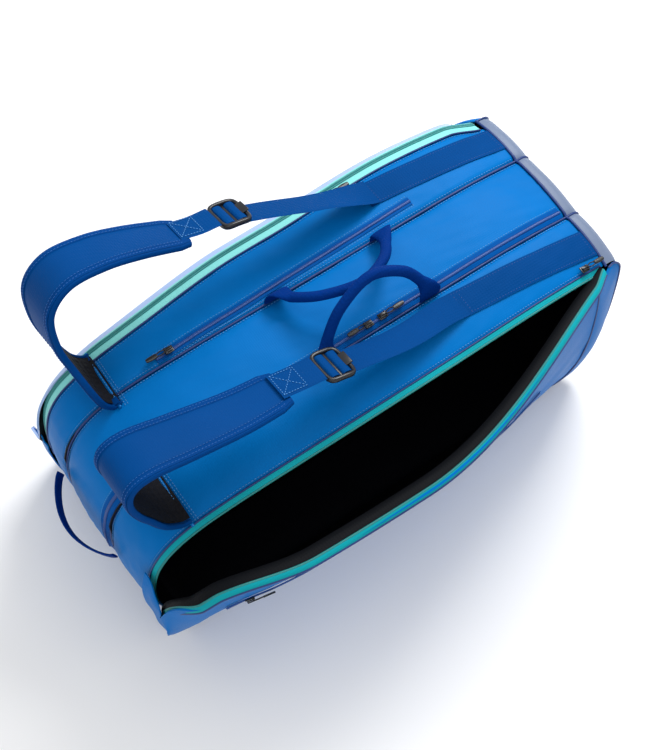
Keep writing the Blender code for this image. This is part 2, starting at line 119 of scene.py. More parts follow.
def fabric(name, rgb, rough=0.5, weave=0.0009, bump=0.25, vary=0.12, sheen=0.0, spec=0.5, coat=0.0, ribs=None,
           grain=0.0, worn=0.0, depth=0.0003):
    """Woven cloth: a plain weave or ribs, slow colour drift, and a soft gloss."""
    m, nt, b = new_mat(name)
    tc = nt.nodes.new("ShaderNodeTexCoord")
    co = tc.outputs["Object"]
    # slow variation of colour
    n1 = nt.nodes.new("ShaderNodeTexNoise")
    n1.inputs["Scale"].default_value = 9.0
    n1.inputs["Detail"].default_value = 4.0
    nt.links.new(co, n1.inputs["Vector"])
    n2 = nt.nodes.new("ShaderNodeTexNoise")
    n2.inputs["Scale"].default_value = 900.0
    n2.inputs["Detail"].default_value = 2.0
    nt.links.new(co, n2.inputs["Vector"])
    base = lin(rgb)
    ramp = nt.nodes.new("ShaderNodeValToRGB")
    ramp.color_ramp.elements[0].position = 0.3
    ramp.color_ramp.elements[1].position = 0.7
    ramp.color_ramp.elements[0].color = (*[c * (1 - vary) for c in base], 1)
    ramp.color_ramp.elements[1].color = (*[min(1.0, c * (1 + vary)) for c in base], 1)
    mix = math_node(nt, "MULTIPLY_ADD", n1.outputs["Fac"], 0.75)
    nt.nodes[-1].inputs[2].default_value = 0.0
    m2 = math_node(nt, "MULTIPLY", n2.outputs["Fac"], 0.25)
    total = math_node(nt, "ADD", mix, m2)
    nt.links.new(total, ramp.inputs["Fac"])
    nt.links.new(ramp.outputs["Color"], b.inputs["Base Color"])
    # weave
    if ribs is None:
        w1 = nt.nodes.new("ShaderNodeTexWave")
        w1.wave_type = "BANDS"
        w1.bands_direction = "X"
        w1.inputs["Scale"].default_value = 1.0 / (weave * 20.0) * 2.0
        w2 = nt.nodes.new("ShaderNodeTexWave")
        w2.wave_type = "BANDS"
        w2.bands_direction = "Y"
        w2.inputs["Scale"].default_value = 1.0 / (weave * 20.0) * 2.0
        w3 = nt.nodes.new("ShaderNodeTexWave")
        w3.wave_type = "BANDS"
        w3.bands_direction = "Z"
        w3.inputs["Scale"].default_value = 1.0 / (weave * 20.0) * 2.0
        for w in (w1, w2, w3):
            w.inputs["Distortion"].default_value = 0.6
            w.inputs["Detail"].default_value = 1.0
            nt.links.new(co, w.inputs["Vector"])
        h = math_node(nt, "MULTIPLY", w1.outputs["Fac"], w2.outputs["Fac"])
        h = math_node(nt, "ADD", h, math_node(nt, "MULTIPLY", w3.outputs["Fac"], 0.6))
    else:
        w1 = nt.nodes.new("ShaderNodeTexWave")
        w1.wave_type = "BANDS"
        w1.bands_direction = ribs
        w1.inputs["Scale"].default_value = 1.0 / (weave * 20.0) * 2.0
        w1.inputs["Distortion"].default_value = 0.3
        nt.links.new(co, w1.inputs["Vector"])
        h = w1.outputs["Fac"]
    hg = math_node(nt, "ADD", h, math_node(nt, "MULTIPLY", n2.outputs["Fac"], 0.8 + grain))
    bp = nt.nodes.new("ShaderNodeBump")
    bp.inputs["Strength"].default_value = bump
    bp.inputs["Distance"].default_value = depth
    nt.links.new(hg, bp.inputs["Height"])
    nt.links.new(bp.outputs["Normal"], b.inputs["Normal"])
    rr = math_node(nt, "MULTIPLY_ADD", n2.outputs["Fac"], 0.18)
    nt.nodes[-1].inputs[2].default_value = rough - 0.09
    nt.links.new(rr, b.inputs["Roughness"])
    b.inputs["Specular IOR Level"].default_value = spec
    if sheen:
        b.inputs["Sheen Weight"].default_value = sheen
        b.inputs["Sheen Roughness"].default_value = 0.4
        b.inputs["Sheen Tint"].default_value = (*[0.4 + 0.6 * c for c in base], 1)
    if coat:
        b.inputs["Coat Weight"].default_value = coat
        b.inputs["Coat Roughness"].default_value = 0.35
    return m


def plastic(name, rgb, rough=0.35, grain=900.0, bump=0.12):
    m, nt, b = new_mat(name)
    tc = nt.nodes.new("ShaderNodeTexCoord")
    n = nt.nodes.new("ShaderNodeTexNoise")
    n.inputs["Scale"].default_value = grain
    n.inputs["Detail"].default_value = 3.0
    nt.links.new(tc.outputs["Object"], n.inputs["Vector"])
    base = lin(rgb)
    ramp = nt.nodes.new("ShaderNodeValToRGB")
    ramp.color_ramp.elements[0].color = (*[c * 0.8 for c in base], 1)
    ramp.color_ramp.elements[1].color = (*[c * 1.3 for c in base], 1)
    nt.links.new(n.outputs["Fac"], ramp.inputs["Fac"])
    nt.links.new(ramp.outputs["Color"], b.inputs["Base Color"])
    bp = nt.nodes.new("ShaderNodeBump")
    bp.inputs["Strength"].default_value = bump
    bp.inputs["Distance"].default_value = 0.0002
    nt.links.new(n.outputs["Fac"], bp.inputs["Height"])
    nt.links.new(bp.outputs["Normal"], b.inputs["Normal"])
    rr = math_node(nt, "MULTIPLY_ADD", n.outputs["Fac"], 0.2)
    nt.nodes[-1].inputs[2].default_value = rough - 0.1
    nt.links.new(rr, b.inputs["Roughness"])
    return m


MAT = {
    "blue": fabric("coated_polyester_blue", (0, 104, 178), rough=0.42, bump=0.22, vary=0.07, coat=0.0, spec=0.04),
    "blue_out": fabric("coated_polyester_side", (0, 100, 175), rough=0.42, bump=0.22, vary=0.07, coat=0.0, spec=0.04),
    "panel": fabric("coated_polyester_light", (0, 102, 178), rough=0.4, bump=0.22, vary=0.07, coat=0.0, spec=0.03),
    # painted sheen: the left side panel is the same blue cloth as the right one, given a pale colour that stands in for
    # the glare of the back light on it
    "panel_painted_sheen": fabric("coated_polyester_painted_sheen", (160, 184, 226), rough=0.4, bump=0.22, vary=0.06, coat=0.0, spec=0.14),
    "navy": fabric("polyester_navy", (4, 36, 96), rough=0.5, bump=0.3, vary=0.1),
    "dark_blue": fabric("polyester_dark_blue", (0, 84, 156), rough=0.45, bump=0.25, vary=0.08, spec=0.05),
    "grey": fabric("base_grey_fabric", (104, 118, 144), rough=0.45, bump=0.25, vary=0.06, spec=0.25),
    "web": fabric("webbing_blue", (0, 62, 124), rough=0.62, weave=0.0012, bump=0.5, vary=0.10, sheen=0.0, spec=0.03, depth=0.0005),
    "pad": fabric("strap_padded_blue", (0, 64, 128), rough=0.55, weave=0.0009, bump=0.35, vary=0.08, sheen=0.0, spec=0.04),
    "handle": fabric("handle_webbing", (0, 44, 116), rough=0.6, weave=0.0012, bump=0.5, vary=0.12, sheen=0.0, spec=0.03, depth=0.0005),
    "bind": fabric("edge_binding", (0, 58, 122), rough=0.6, weave=0.0010, bump=0.4, vary=0.1, spec=0.03),
    "piping": fabric("seam_piping", (0, 44, 108), rough=0.5, weave=0.0009, bump=0.3, vary=0.1),
    "mesh": fabric("spacer_mesh_black", (14, 15, 22), rough=0.8, weave=0.0026, bump=1.0, vary=0.35, spec=0.2, depth=0.001),
    "lining": fabric("lining_black", (9, 11, 20), rough=0.75, weave=0.0011, bump=0.4, vary=0.2, spec=0.1),
    "charcoal": fabric("lining_charcoal", (13, 15, 19), rough=0.6, weave=0.0012, bump=0.45, vary=0.15, spec=0.08),
    "teal": fabric("zip_tape_teal", (0, 150, 162), rough=0.6, weave=0.0008, bump=0.5, vary=0.08, spec=0.12, ribs="Y"),
    "aqua": fabric("zip_tape_aqua", (120, 208, 206), rough=0.5, weave=0.0008, bump=0.5, vary=0.06, spec=0.4, coat=0.15),
    "coil": plastic("zip_coil_teal", (10, 118, 118), rough=0.4, bump=0.05),
    "coil_blue": plastic("zip_coil_blue", (0, 58, 128), rough=0.4, bump=0.05),
    "tonal": fabric("zip_tape_blue", (0, 76, 150), rough=0.55, weave=0.0008, bump=0.5, vary=0.08, spec=0.03),
    "thread": fabric("stitching_light_blue", (70, 140, 205), rough=0.5, weave=0.0005, bump=0.2, vary=0.05),
    "thread_mid": fabric("stitching_mid_blue", (20, 96, 172), rough=0.5, weave=0.0005, bump=0.2, vary=0.05),
    "thread_dark": fabric("stitching_blue", (0, 60, 130), rough=0.5, weave=0.0005, bump=0.2, vary=0.05),
    "plastic": plastic("buckle_acetal_black", (16, 18, 24), rough=0.33),
    "metal": plastic("slider_black_enamel", (14, 15, 18), rough=0.3, grain=400.0),
    "cord": fabric("puller_cord_black", (18, 19, 24), rough=0.6, weave=0.0006, bump=0.6, vary=0.2),
}

# ============================================================ shape of the bag (same numbers as the frame)
SEAM_Y, ZIP_Y, ZIP_BOW, BULGE, BELLY_Y = 0.054, 0.138, 0.016, 0.030, 0.158
HINGE_Z, OPEN = 0.009, math.radians(19.0)
PROFILE = np.array([
    (0.352, 0.331), (0.300, 0.339), (0.240, 0.3438), (0.180, 0.345), (0.100, 0.345), (0.000, 0.345),
    (-0.100, 0.345), (-0.180, 0.345), (-0.240, 0.3432), (-0.290, 0.335), (-0.330, 0.314),
    (-0.356, 0.280), (-0.369, 0.235), (-0.3735, 0.180), (-0.371, 0.120), (-0.362, 0.064), (-0.345, 0.022),
    (-0.336, 0.009)])
BASE_PROFILE = np.array([
    (0.3545, 0.3308), (0.3680, 0.3286), (0.3788, 0.3150), (0.3824, 0.285), (0.3834, 0.240), (0.3834, 0.160),
    (0.3805, 0.080), (0.370, 0.030), (0.352, 0.009)])


def catmull(P, n):
    """n points evenly spaced by length along a smooth curve through P."""
    P = np.asarray(P, float)
    m = len(P) - 1
    t = np.linspace(0, m, m * 60 + 1)
    i = np.minimum(t.astype(int), m - 1)
    f = (t - i)[:, None]
    Q = np.vstack([2 * P[0] - P[1], P, 2 * P[-1] - P[-2]])
    p0, p1, p2, p3 = Q[i], Q[i + 1], Q[i + 2], Q[i + 3]
    C = 0.5 * (2 * p1 + (p2 - p0) * f + (2 * p0 - 5 * p1 + 4 * p2 - p3) * f ** 2 + (3 * p1 - p0 - 3 * p2 + p3) * f ** 3)
    s = np.concatenate([[0], np.cumsum(np.linalg.norm(np.diff(C, axis=0), axis=1))])
    if np.ndim(n) == 0:
        want = np.linspace(0, s[-1], n)
    else:
        want = np.asarray(n) * s[-1]
    return np.stack([np.interp(want, s, C[:, k]) for k in range(C.shape[1])], 1)


class Curve2:
    """The profile by length, with its outward normal."""

    def __init__(self, P, flip=1.0):
        C = catmull(P, 3000)
        self.s = np.concatenate([[0], np.cumsum(np.linalg.norm(np.diff(C, axis=0), axis=1))])
        self.C = C
        T = np.gradient(C, axis=0)
        # smooth the tangent a little, so that the surface has no facets
        k = np.ones(61) / 61
        pad = np.vstack([np.repeat(T[:1], 30, 0), T, np.repeat(T[-1:], 30, 0)])
        T = np.stack([np.convolve(pad[:, j], k, "valid") for j in range(2)], 1)
        T /= np.linalg.norm(T, axis=1)[:, None]
        self.N = np.stack([T[:, 1], -T[:, 0]], 1) * flip
        self.L = self.s[-1]

    def at(self, s):
        s = np.clip(s, 0, self.L)
        g = lambda a: np.interp(s, self.s, a)
        return g(self.C[:, 0]), g(self.C[:, 1]), g(self.N[:, 0]), g(self.N[:, 1])


SP = Curve2(PROFILE)
BP = Curve2(BASE_PROFILE, -1.0)
_top = SP.C[:, 0][: np.argmax(SP.C[:, 0] < -0.372)]


def s_of_x(x):
    """Length along the profile at a place on the spine."""
    n = len(_top)
    return np.interp(-np.asarray(x, float), -_top, SP.s[:n])


def smooth(t):
    t = np.clip(t, 0, 1)
    return t * t * (3 - 2 * t)


def zip_y(x, side=1):
    """Distance of a zip from the middle: 1 the left zip, -1 the right panel's edge, -2 the spine's edge
    on the right, which the open zip lets lie nearly straight."""
    b = np.maximum(0.0, 1.0 - ((x - 0.03) / 0.345) ** 2)
    if side == -2:
        return 0.1400 + 0.0015 * b
    y = ZIP_Y + ZIP_BOW * b
    if side == 1:
        y = y + (0.010 * smooth(x / 0.2) - 0.012 * smooth((-0.05 - x) / 0.2)) * (1 - smooth((x - 0.30) / 0.052))
    return y


def lump(x, y, seed, scale, n=5):
    """A slow smooth noise from a few plane waves."""
    r = np.random.default_rng(seed)
    out = 0
    for _ in range(n):
        a = r.uniform(0, 2 * np.pi)
        k = 2 * np.pi / scale * r.uniform(0.6, 1.5)
        out = out + np.sin(k * (np.cos(a) * x + np.sin(a) * y) + r.uniform(0, 6.28))
    return out / n


def crown(y, x):
    side = np.where(y >= 0, 1, -1)
    a = np.abs(y)
    zy = np.where(side > 0, zip_y(x, 1), zip_y(x, -2))
    t = np.clip((a - SEAM_Y) / (zy - SEAM_Y), 0, 1.3)
    mid = -0.004 * (a / SEAM_Y) ** 2
    out = -0.004 + 0.010 * t * (1.0 - t) - 0.009 * t * t
    c = np.where(a <= SEAM_Y, mid, out)
    # seam valleys and fabric that is not quite flat
    d = np.abs(a - SEAM_Y)
    c = c - 0.0022 * np.exp(-(d / 0.0035) ** 2)
    return c


def relief(s, y, seed):
    """Small shape of the cloth over the spine: slow lumps, and puckers beside the seams."""
    a = np.abs(y)
    d = np.abs(a - SEAM_Y)
    r = 0.0011 * lump(s, y * 1.6, seed, 0.14) + 0.0005 * lump(s, y * 2, seed + 5, 0.045)
    r = r + 0.00055 * np.exp(-d / 0.009) * np.sin(2 * np.pi * s / 0.021 + 3 * lump(s, y, seed + 9, 0.2)) * (0.5 + 0.5 * lump(s, y * 0, seed + 11, 0.3))
    r = r - 0.0004
    return r


def spine(s, y, off=0.0, seed=3, rel=True):
    x, z, nx, nz = SP.at(s)
    c = crown(y, x) + off
    if rel:
        c = c + relief(s, y, seed)
    return np.stack([x + nx * c, y + 0 * x, z + nz * c], -1)


def base_surf(s, y, off=0.0, seed=33):
    x, z, nx, nz = BP.at(s)
    c = crown(np.clip(y, -ZIP_Y, ZIP_Y), x) * 1.0
    top = smooth(1 - s / 0.04)
    over = np.maximum(0, np.abs(y) - (base_corner_y(z) - 0.012)) / 0.012
    cx = c * (0.35 - 0.35 * top) + 0.0008 * lump(s, y, seed, 0.09) - 0.0020 * np.clip(over, 0, 1) ** 2
    cz = c * np.maximum(0, nz) * 1.0 + c * top * (1 - np.maximum(0, nz))
    return np.stack([x + nx * off + cx, y + 0 * x, z + nz * off + cz], -1)


# side panel, closed
_xs = np.linspace(-0.3735, 0.352, 400)


def _side_rows(x):
    low = np.where(x > -0.336, 0.009, 0.009 + 0.141 * np.clip((-0.336 - x) / 0.0365, 0, 1) ** 2.2)
    high = np.interp(s_of_x(x), SP.s, SP.C[:, 1]) - 0.013
    return low, np.maximum(high, low + 0.02)


def side(x, v, sgn, off=0.0, seed=21):
    low, high = _side_rows(x)
    z = low + (high - low) * v
    zy = zip_y(x, sgn)
    edge = BELLY_Y + (zy - BELLY_Y) * v
    u = np.maximum(0.0, 1.0 - np.abs((x + 0.02) / 0.36) ** 3)
    if sgn < 0:
        full = 0.33 + 0.47 * smooth((x + 0.03) / 0.30)
    else:
        full = np.where(x > -0.02, 0.80 + 0.20 * u, 0.35 + 0.65 * u)
    # the left panel is stuffed tighter, so it stands out just under its zip
    power = 0.8 if sgn < 0 else 0.42
    y = edge + (BULGE + (0.0 if sgn < 0 else 0.003)) * np.sin(np.pi * np.clip(v, 0, 1)) ** power * full
    soft = np.sin(np.pi * np.clip(v, 0, 1)) ** 0.6
    y = y + soft * (0.0022 * lump(x, z, seed, 0.22) + 0.0010 * lump(x, z, seed + 3, 0.07))
    if sgn > 0:      # wraps round the handle end to meet the zip
        y = zy + (y - zy) * (1 - 0.72 * smooth((-0.312 - x) / 0.058) * smooth(v / 0.26))
    y = y + off
    return np.stack([x + 0 * v, sgn * y, z], -1)


def open_panel(P, w):
    """Turn points about the right hinge line by the opening times w, a little less near the handle end,
    where the end of the zip holds the panel."""
    a = OPEN * w - math.radians(3.0) * smooth((-0.19 - P[..., 0]) / 0.13) - math.radians(4.5) * smooth((-0.330 - P[..., 0]) / 0.04)
    c, s = np.cos(a), np.sin(a)
    y, z = P[..., 1] + BELLY_Y, P[..., 2] - HINGE_Z
    Q = P.copy()
    Q[..., 1] = -BELLY_Y + y * c - z * s
    Q[..., 2] = HINGE_Z + y * s + z * c
    return Q


BLEND_R = ((0.460, 0, 0), (-0.030, 0, 0))     # bag_body at the base end, right_panel from here on


def panel_w(x):
    w = smooth((BLEND_R[0][0] - x) / (BLEND_R[0][0] - BLEND_R[1][0]))
    return w * (1 - smooth((x - 0.316) / 0.0575))


def base_corner_y(z):
    v = np.clip((z - 0.009) / 0.3115, 0, 1)
    return BELLY_Y + (ZIP_Y - BELLY_Y) * v + 0.36 * BULGE * np.sin(np.pi * v) ** 0.8


# ============================================================ mesh making
PIECES = {}


def make_mesh(name, V, F, mats, midx=None, smooth_shade=True, sharp=None):
    me = bpy.data.meshes.new(name)
    me.from_pydata(np.asarray(V, float).tolist(), [], [list(map(int, f)) for f in F])
    for m in mats:
        me.materials.append(MAT[m])
    if midx is not None:
        me.polygons.foreach_set("material_index", np.asarray(midx, np.int32))
    if smooth_shade:
        me.polygons.foreach_set("use_smooth", np.ones(len(me.polygons), bool))
        if sharp:
            me.set_sharp_from_angle(angle=math.radians(sharp))
    me.update()
    ob = bpy.data.objects.new(name, me)
    scene.collection.objects.link(ob)
    PIECES[name] = ob
    return ob


def grid_faces(nu, nv, base=0, flip=False, wrap=False):
    i = np.arange(nu - 1)[:, None]
    jn = nv if wrap else nv - 1
    j = np.arange(jn)[None, :]
    j1 = (j + 1) % nv
    a = base + i * nv + j
    b = base + i * nv + j1
    c = base + (i + 1) * nv + j1
    d = base + (i + 1) * nv + j
    F = np.stack([a + 0 * b, b, c + 0 * b, d + 0 * b], -1).reshape(-1, 4)
    return F[:, ::-1] if flip else F


def orient(V, F):
    """Faces turned so that a closed mesh has positive volume."""
    V = np.asarray(V)
    vol = 0.0
    for k in range(1, 3):
        a, b, c = V[F[:, 0]], V[F[:, k]], V[F[:, k + 1]]
        vol += np.einsum("ij,ij->", a, np.cross(b, c))
    return F if vol > 0 else F[:, ::-1]


def shell(name, out, inn, mats=("blue", "lining"), rim_out=0.0):
    """A closed sheet from two grids of points; the rim belongs to the outer cloth."""
    nu, nv = out.shape[:2]
    V = np.vstack([out.reshape(-1, 3), inn.reshape(-1, 3)])
    m = nu * nv
    F1 = grid_faces(nu, nv, 0)
    F2 = grid_faces(nu, nv, m, flip=True)
    ring = [i * nv for i in range(nu)] + [(nu - 1) * nv + j for j in range(1, nv)] + \
           [i * nv + nv - 1 for i in range(nu - 2, -1, -1)] + [j for j in range(nv - 2, 0, -1)]
    ring = np.array(ring)
    nx = np.roll(ring, -1)
    F3 = np.stack([ring, ring + m, nx + m, nx], 1)[:, ::-1]
    F3 = F3[:, ::-1]
    F = np.vstack([F1, F2, F3])
    idx = np.concatenate([np.zeros(len(F1)), np.ones(len(F2)) * (len(mats) > 1), np.zeros(len(F3))]).astype(int)
    F = orient(V, F)
    return make_mesh(name, V, F, mats, idx, sharp=60)


def normals_of(P):
    du = np.gradient(P, axis=0)
    dv = np.gradient(P, axis=1)
    n = np.cross(du, dv)
    n /= np.maximum(np.linalg.norm(n, axis=-1), 1e-12)[..., None]
    return n


def padded_shell(name, P, t, outward, mats=("blue", "lining"), round_edge=True):
    """Sheet of thickness t on the inner side of the grid P."""
    n = normals_of(P)
    s = np.sign(np.sum(n * outward, axis=-1).mean())
    n = n * s
    inn = P - n * t
    out = P.copy()
    return shell(name, out, inn, mats)


def sweep(name, path, A, B, a, b, mats=("web",), nseg=16, power=2.0, caps=True, midx=None):
    """Loft of a superellipse: half sizes a along A and b along B at each point."""
    path = np.asarray(path, float)
    n = len(path)
    th = np.linspace(0, 2 * np.pi, nseg, endpoint=False)
    cs, sn = np.cos(th), np.sin(th)
    e = 2.0 / power
    cx = np.sign(cs) * np.abs(cs) ** e
    cy = np.sign(sn) * np.abs(sn) ** e
    a = np.broadcast_to(np.asarray(a, float), n)
    b = np.broadcast_to(np.asarray(b, float), n)
    V = path[:, None, :] + A[:, None, :] * (a[:, None] * cx[None])[..., None] + B[:, None, :] * (b[:, None] * cy[None])[..., None]
    V = V.reshape(-1, 3)
    F = [list(f) for f in grid_faces(n, nseg, 0, wrap=True)]
    if caps:
        c0, c1 = len(V), len(V) + 1
        V = np.vstack([V, path[:1], path[-1:]])
        for j in range(nseg):
            j1 = (j + 1) % nseg
            F.append([c0, j1, j])
            F.append([c1, (n - 1) * nseg + j, (n - 1) * nseg + j1])
    # outward
    vol = 0.0
    for f in F:
        for k in range(1, len(f) - 1):
            p, q, r = V[f[0]], V[f[k]], V[f[k + 1]]
            vol += p[0] * (q[1] * r[2] - q[2] * r[1]) - p[1] * (q[0] * r[2] - q[2] * r[0]) + p[2] * (q[0] * r[1] - q[1] * r[0])
    if vol < 0:
        F = [f[::-1] for f in F]
    return make_mesh(name, V, F, list(mats), midx, sharp=75)


def frames(path, ref):
    """Directions across a path: A lies nearest to ref, B is square to both."""
    path = np.asarray(path, float)
    T = np.gradient(path, axis=0)
    T /= np.maximum(np.linalg.norm(T, axis=1), 1e-12)[:, None]
    ref = np.broadcast_to(np.asarray(ref, float), T.shape)
    A = ref - T * np.sum(ref * T, axis=1)[:, None]
    A /= np.maximum(np.linalg.norm(A, axis=1), 1e-12)[:, None]
    B = np.cross(T, A)
    return A, B, T


def pipe(name, path, r, mat="piping", nseg=10, ref=(0, 0, 1)):
    A, B, T = frames(path, ref)
    return sweep(name, path, A, B, r, r, (mat,), nseg)


def resample(P, step):
    P = np.asarray(P, float)
    s = np.concatenate([[0], np.cumsum(np.linalg.norm(np.diff(P, axis=0), axis=1))])
    n = max(3, int(round(s[-1] / step)) + 1)
    w = np.linspace(0, s[-1], n)
    return np.stack([np.interp(w, s, P[:, k]) for k in range(3)], 1), w


def coil(name, path, ref, half=0.0021, height=0.0012, pitch=0.0017, mat="coil"):
    """Row of moulded coil teeth along a zip."""
    P, s = resample(path, pitch / 4)
    A, B, T = frames(P, ref)
    m = 1 + 0.16 * np.cos(2 * np.pi * s / pitch)
    return sweep(name, P, A, B, half * m, height * m, (mat,), 8, power=2.4)


def tape(name, P, up, t=0.0009, mats=("teal",)):
    """Thin flat woven tape from a grid of points."""
    n = normals_of(P)
    n = n * np.sign(np.sum(n * up, -1).mean())
    return shell(name, P + n * t, P, mats)


def stitches(name, lines, length=0.0030, gap=0.0013, r=0.00040, mat="thread"):
    """Thread dashes along each (path, normal) line."""
    V, F = [], []
    th = np.linspace(0, 2 * np.pi, 6, endpoint=False)
    prof = [(-0.5, 0.25, -0.6), (-0.32, 1.0, 0.3), (0.0, 1.1, 0.55), (0.32, 1.0, 0.3), (0.5, 0.25, -0.6)]
    for path, ref in lines:
        P, s = resample(path, (length + gap) / 2)
        ref = np.asarray(ref, float)
        for k in range(0, len(P) - 2, 2):
            a, b = P[k], P[k + 1]
            t = b - a
            L = np.linalg.norm(t)
            if L < 1e-6:
                continue
            t = t / L
            n = ref if ref.ndim == 1 else ref[min(len(ref) - 1, int(round(k / max(1, len(P) - 1) * (len(ref) - 1))))]
            n = n - t * np.dot(n, t)
            n /= max(np.linalg.norm(n), 1e-9)
            q = np.cross(t, n)
            base = len(V)
            mid = 0.5 * (a + b)
            for u, w, h in prof:
                c = mid + t * (u * length) + n * (h * r)
                for ang in th:
                    V.append(c + n * (math.sin(ang) * r * 0.8 * w) + q * (math.cos(ang) * r * w))
            for i in range(len(prof) - 1):
                for j in range(6):
                    j1 = (j + 1) % 6
                    F.append((base + i * 6 + j, base + i * 6 + j1, base + (i + 1) * 6 + j1, base + (i + 1) * 6 + j))
            F.append(tuple(base + j for j in range(5, -1, -1)))
            F.append(tuple(base + (len(prof) - 1) * 6 + j for j in range(6)))
    return make_mesh(name, V, F, [mat])


def boxes(name, items, mat, bevel=0.0006, seg=2):
    """Rounded blocks in one piece: each is (centre, half sizes, 3 axes)."""
    V, F = [], []
    for c, h, ax in items:
        base = len(V)
        for sx in (-1, 1):
            for sy in (-1, 1):
                for sz in (-1, 1):
                    V.append(np.asarray(c) + ax[0] * h[0] * sx + ax[1] * h[1] * sy + ax[2] * h[2] * sz)
        F += [(base + a, base + b, base + c2, base + d) for a, b, c2, d in
              ((0, 1, 3, 2), (4, 6, 7, 5), (0, 4, 5, 1), (2, 3, 7, 6), (0, 2, 6, 4), (1, 5, 7, 3))]
    ob = make_mesh(name, V, F, [mat])
    md = ob.modifiers.new("bevel", "BEVEL")
    md.width = bevel
    md.segments = seg
    md.harden_normals = False
    return ob


def rides(body, *obs):
    for o in obs:
        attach(o, body)


ROOT = "bag_body"
UP = np.array([0, 0, 1.0])

# ============================================================ spine panels
NS = 300
S_ALL = np.linspace(0, SP.L, NS)
EDGE_IN = 0.0185     # the cloth ends this far inside the left zip's line
EDGE_R = 0.0045      # and this far inside the right one's


def strip_grid(y0, y1, nv, seed, s=S_ALL):
    x = SP.at(s)[0]
    a = y0(x) if callable(y0) else np.full_like(x, y0)
    b = y1(x) if callable(y1) else np.full_like(x, y1)
    v = np.linspace(0, 1, nv)
    Y = a[:, None] + (b - a)[:, None] * v[None]
    S = np.broadcast_to(s[:, None], Y.shape)
    P = spine(S, Y, 0.0, seed)
    return P, S, Y


for nm, y0, y1, nv, seed in (
        ("spine_middle", -SEAM_Y + 0.0006, SEAM_Y - 0.0006, 30, 3),
        ("spine_left", SEAM_Y + 0.0006, lambda x: zip_y(x, 1) - EDGE_IN + 0.001, 26, 4),
        ("spine_right", lambda x: -zip_y(x, -2) + EDGE_R - 0.001, -SEAM_Y - 0.0006, 26, 5)):
    P, S, Y = strip_grid(y0, y1, nv, seed)
    # the long edges roll under into their seams
    e = np.minimum(np.arange(nv), np.arange(nv)[::-1]) / 1.5
    dip = 0.0016 * np.exp(-e ** 2)
    x, z, nx, nz = SP.at(S)
    P[..., 0] -= nx * dip
    P[..., 2] -= nz * dip
    n = normals_of(P)
    n *= np.sign((n * np.stack([nx, 0 * nx, nz], -1)).sum(-1).mean())
    ob = shell(nm, P, P - n * 0.0026, ("blue", "lining"))
    rides(ROOT, ob)
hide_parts("gusset_middle")
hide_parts("gusset_left")
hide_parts("gusset_right")

# seam piping between the compartments, over the spine and down the handle end, and over the base
for sg, nm in ((1, "left"), (-1, "right")):
    y = sg * SEAM_Y
    P = spine(S_ALL, np.full(NS, y), 0.0006, rel=False)
    sb = np.linspace(0, BP.L, 90)
    Pb = base_surf(sb, np.full(90, y), 0.0006)
    ob = pipe("seam_piping_" + nm, np.vstack([Pb[::-1], P]), 0.0017, "piping")
    rides(ROOT, ob)

# ============================================================ grey base
SB = np.linspace(0, BP.L, 110)
zb = BP.at(SB)[1]
corner_y = base_corner_y(zb) - 0.0006
for nm, y0, y1, cad in (("base_end_middle", -SEAM_Y + 0.0006 + 0 * zb, SEAM_Y - 0.0006 + 0 * zb, "base_middle"),
                        ("base_end_left", SEAM_Y + 0.0006 + 0 * zb, corner_y, "base_left"),
                        ("base_end_right", -corner_y, -SEAM_Y - 0.0006 + 0 * zb, "base_right")):
    v = np.linspace(0, 1, 26)
    Y = y0[:, None] + (y1 - y0)[:, None] * v[None]
    S = np.broadcast_to(SB[:, None], Y.shape)
    P = base_surf(S, Y)
    ob = padded_shell(nm, P, 0.0025, np.array([1.0, 0, 0.3]), ("grey", "lining"))
    rides(ROOT, ob)
    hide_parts(cad)

# piping where the blue spine meets the grey base
yy = np.linspace(-ZIP_Y - 0.002, ZIP_Y + 0.002, 120)
P = spine(np.zeros(120), yy, 0.0008, rel=False)
P[:, 0] += 0.0016
rides(ROOT, pipe("base_piping_top", P, 0.0019, "piping"))

# ============================================================ belly
xb = np.concatenate([np.linspace(-0.336, 0.352, 80)])
v = np.linspace(-1, 1, 40)
X, Vv = np.meshgrid(xb, v, indexing="ij")
Y = Vv * 0.1572
edge = np.minimum(1 - np.abs(Vv), np.minimum((X + 0.336) / 0.15, (0.352 - X) / 0.15))
Z = 0.0002 + 0.0075 * np.exp(-np.maximum(edge, 0) / 0.025)
out = np.stack([X, Y, Z], -1)
inn = out + np.array([0, 0, 0.0035])
ob = shell("belly_panel_cloth", out, inn, ("navy", "lining"))
rides(ROOT, ob)
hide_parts("belly_panel")

# ============================================================ inner walls
for nm, sg in (("divider_left", 1), ("divider_right", -1)):
    x = np.linspace(-0.366, 0.350, 120)
    v = np.linspace(0, 1, 40)
    X, Vv = np.meshgrid(x, v, indexing="ij")
    low, high = _side_rows(X)
    Z = low + (high + 0.0065 - low) * Vv
    Y = sg * (SEAM_Y + 0.0007) + 0.006 * np.sin(np.pi * Vv) * lump(X, Z, 50 + sg, 0.25) * 0.6
    A = np.stack([X, Y + 0.001, Z], -1)
    B = np.stack([X, Y - 0.001, Z], -1)
    ob = shell("wall_" + nm, A, B, ("charcoal",))
    rides(ROOT, ob)
    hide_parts(nm)

# ============================================================ side panels
NU, NV = 150, 56
PX1 = 0.3165
ux = 0.5 - 0.5 * np.cos(np.pi * np.linspace(0, 1, NU))
XS = -0.3715 + (PX1 + 0.3715) * (0.35 * np.linspace(0, 1, NU) + 0.65 * ux)
VS = np.linspace(0, 1, NV)
XX, VV = np.meshgrid(XS, VS, indexing="ij")


def place_panel(P, sgn, x):
    return open_panel(P, panel_w(x)) if sgn < 0 else P


def finish_panel(ob, sgn):
    if sgn < 0:
        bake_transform(ob)
    else:
        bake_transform(ob)
    return ob


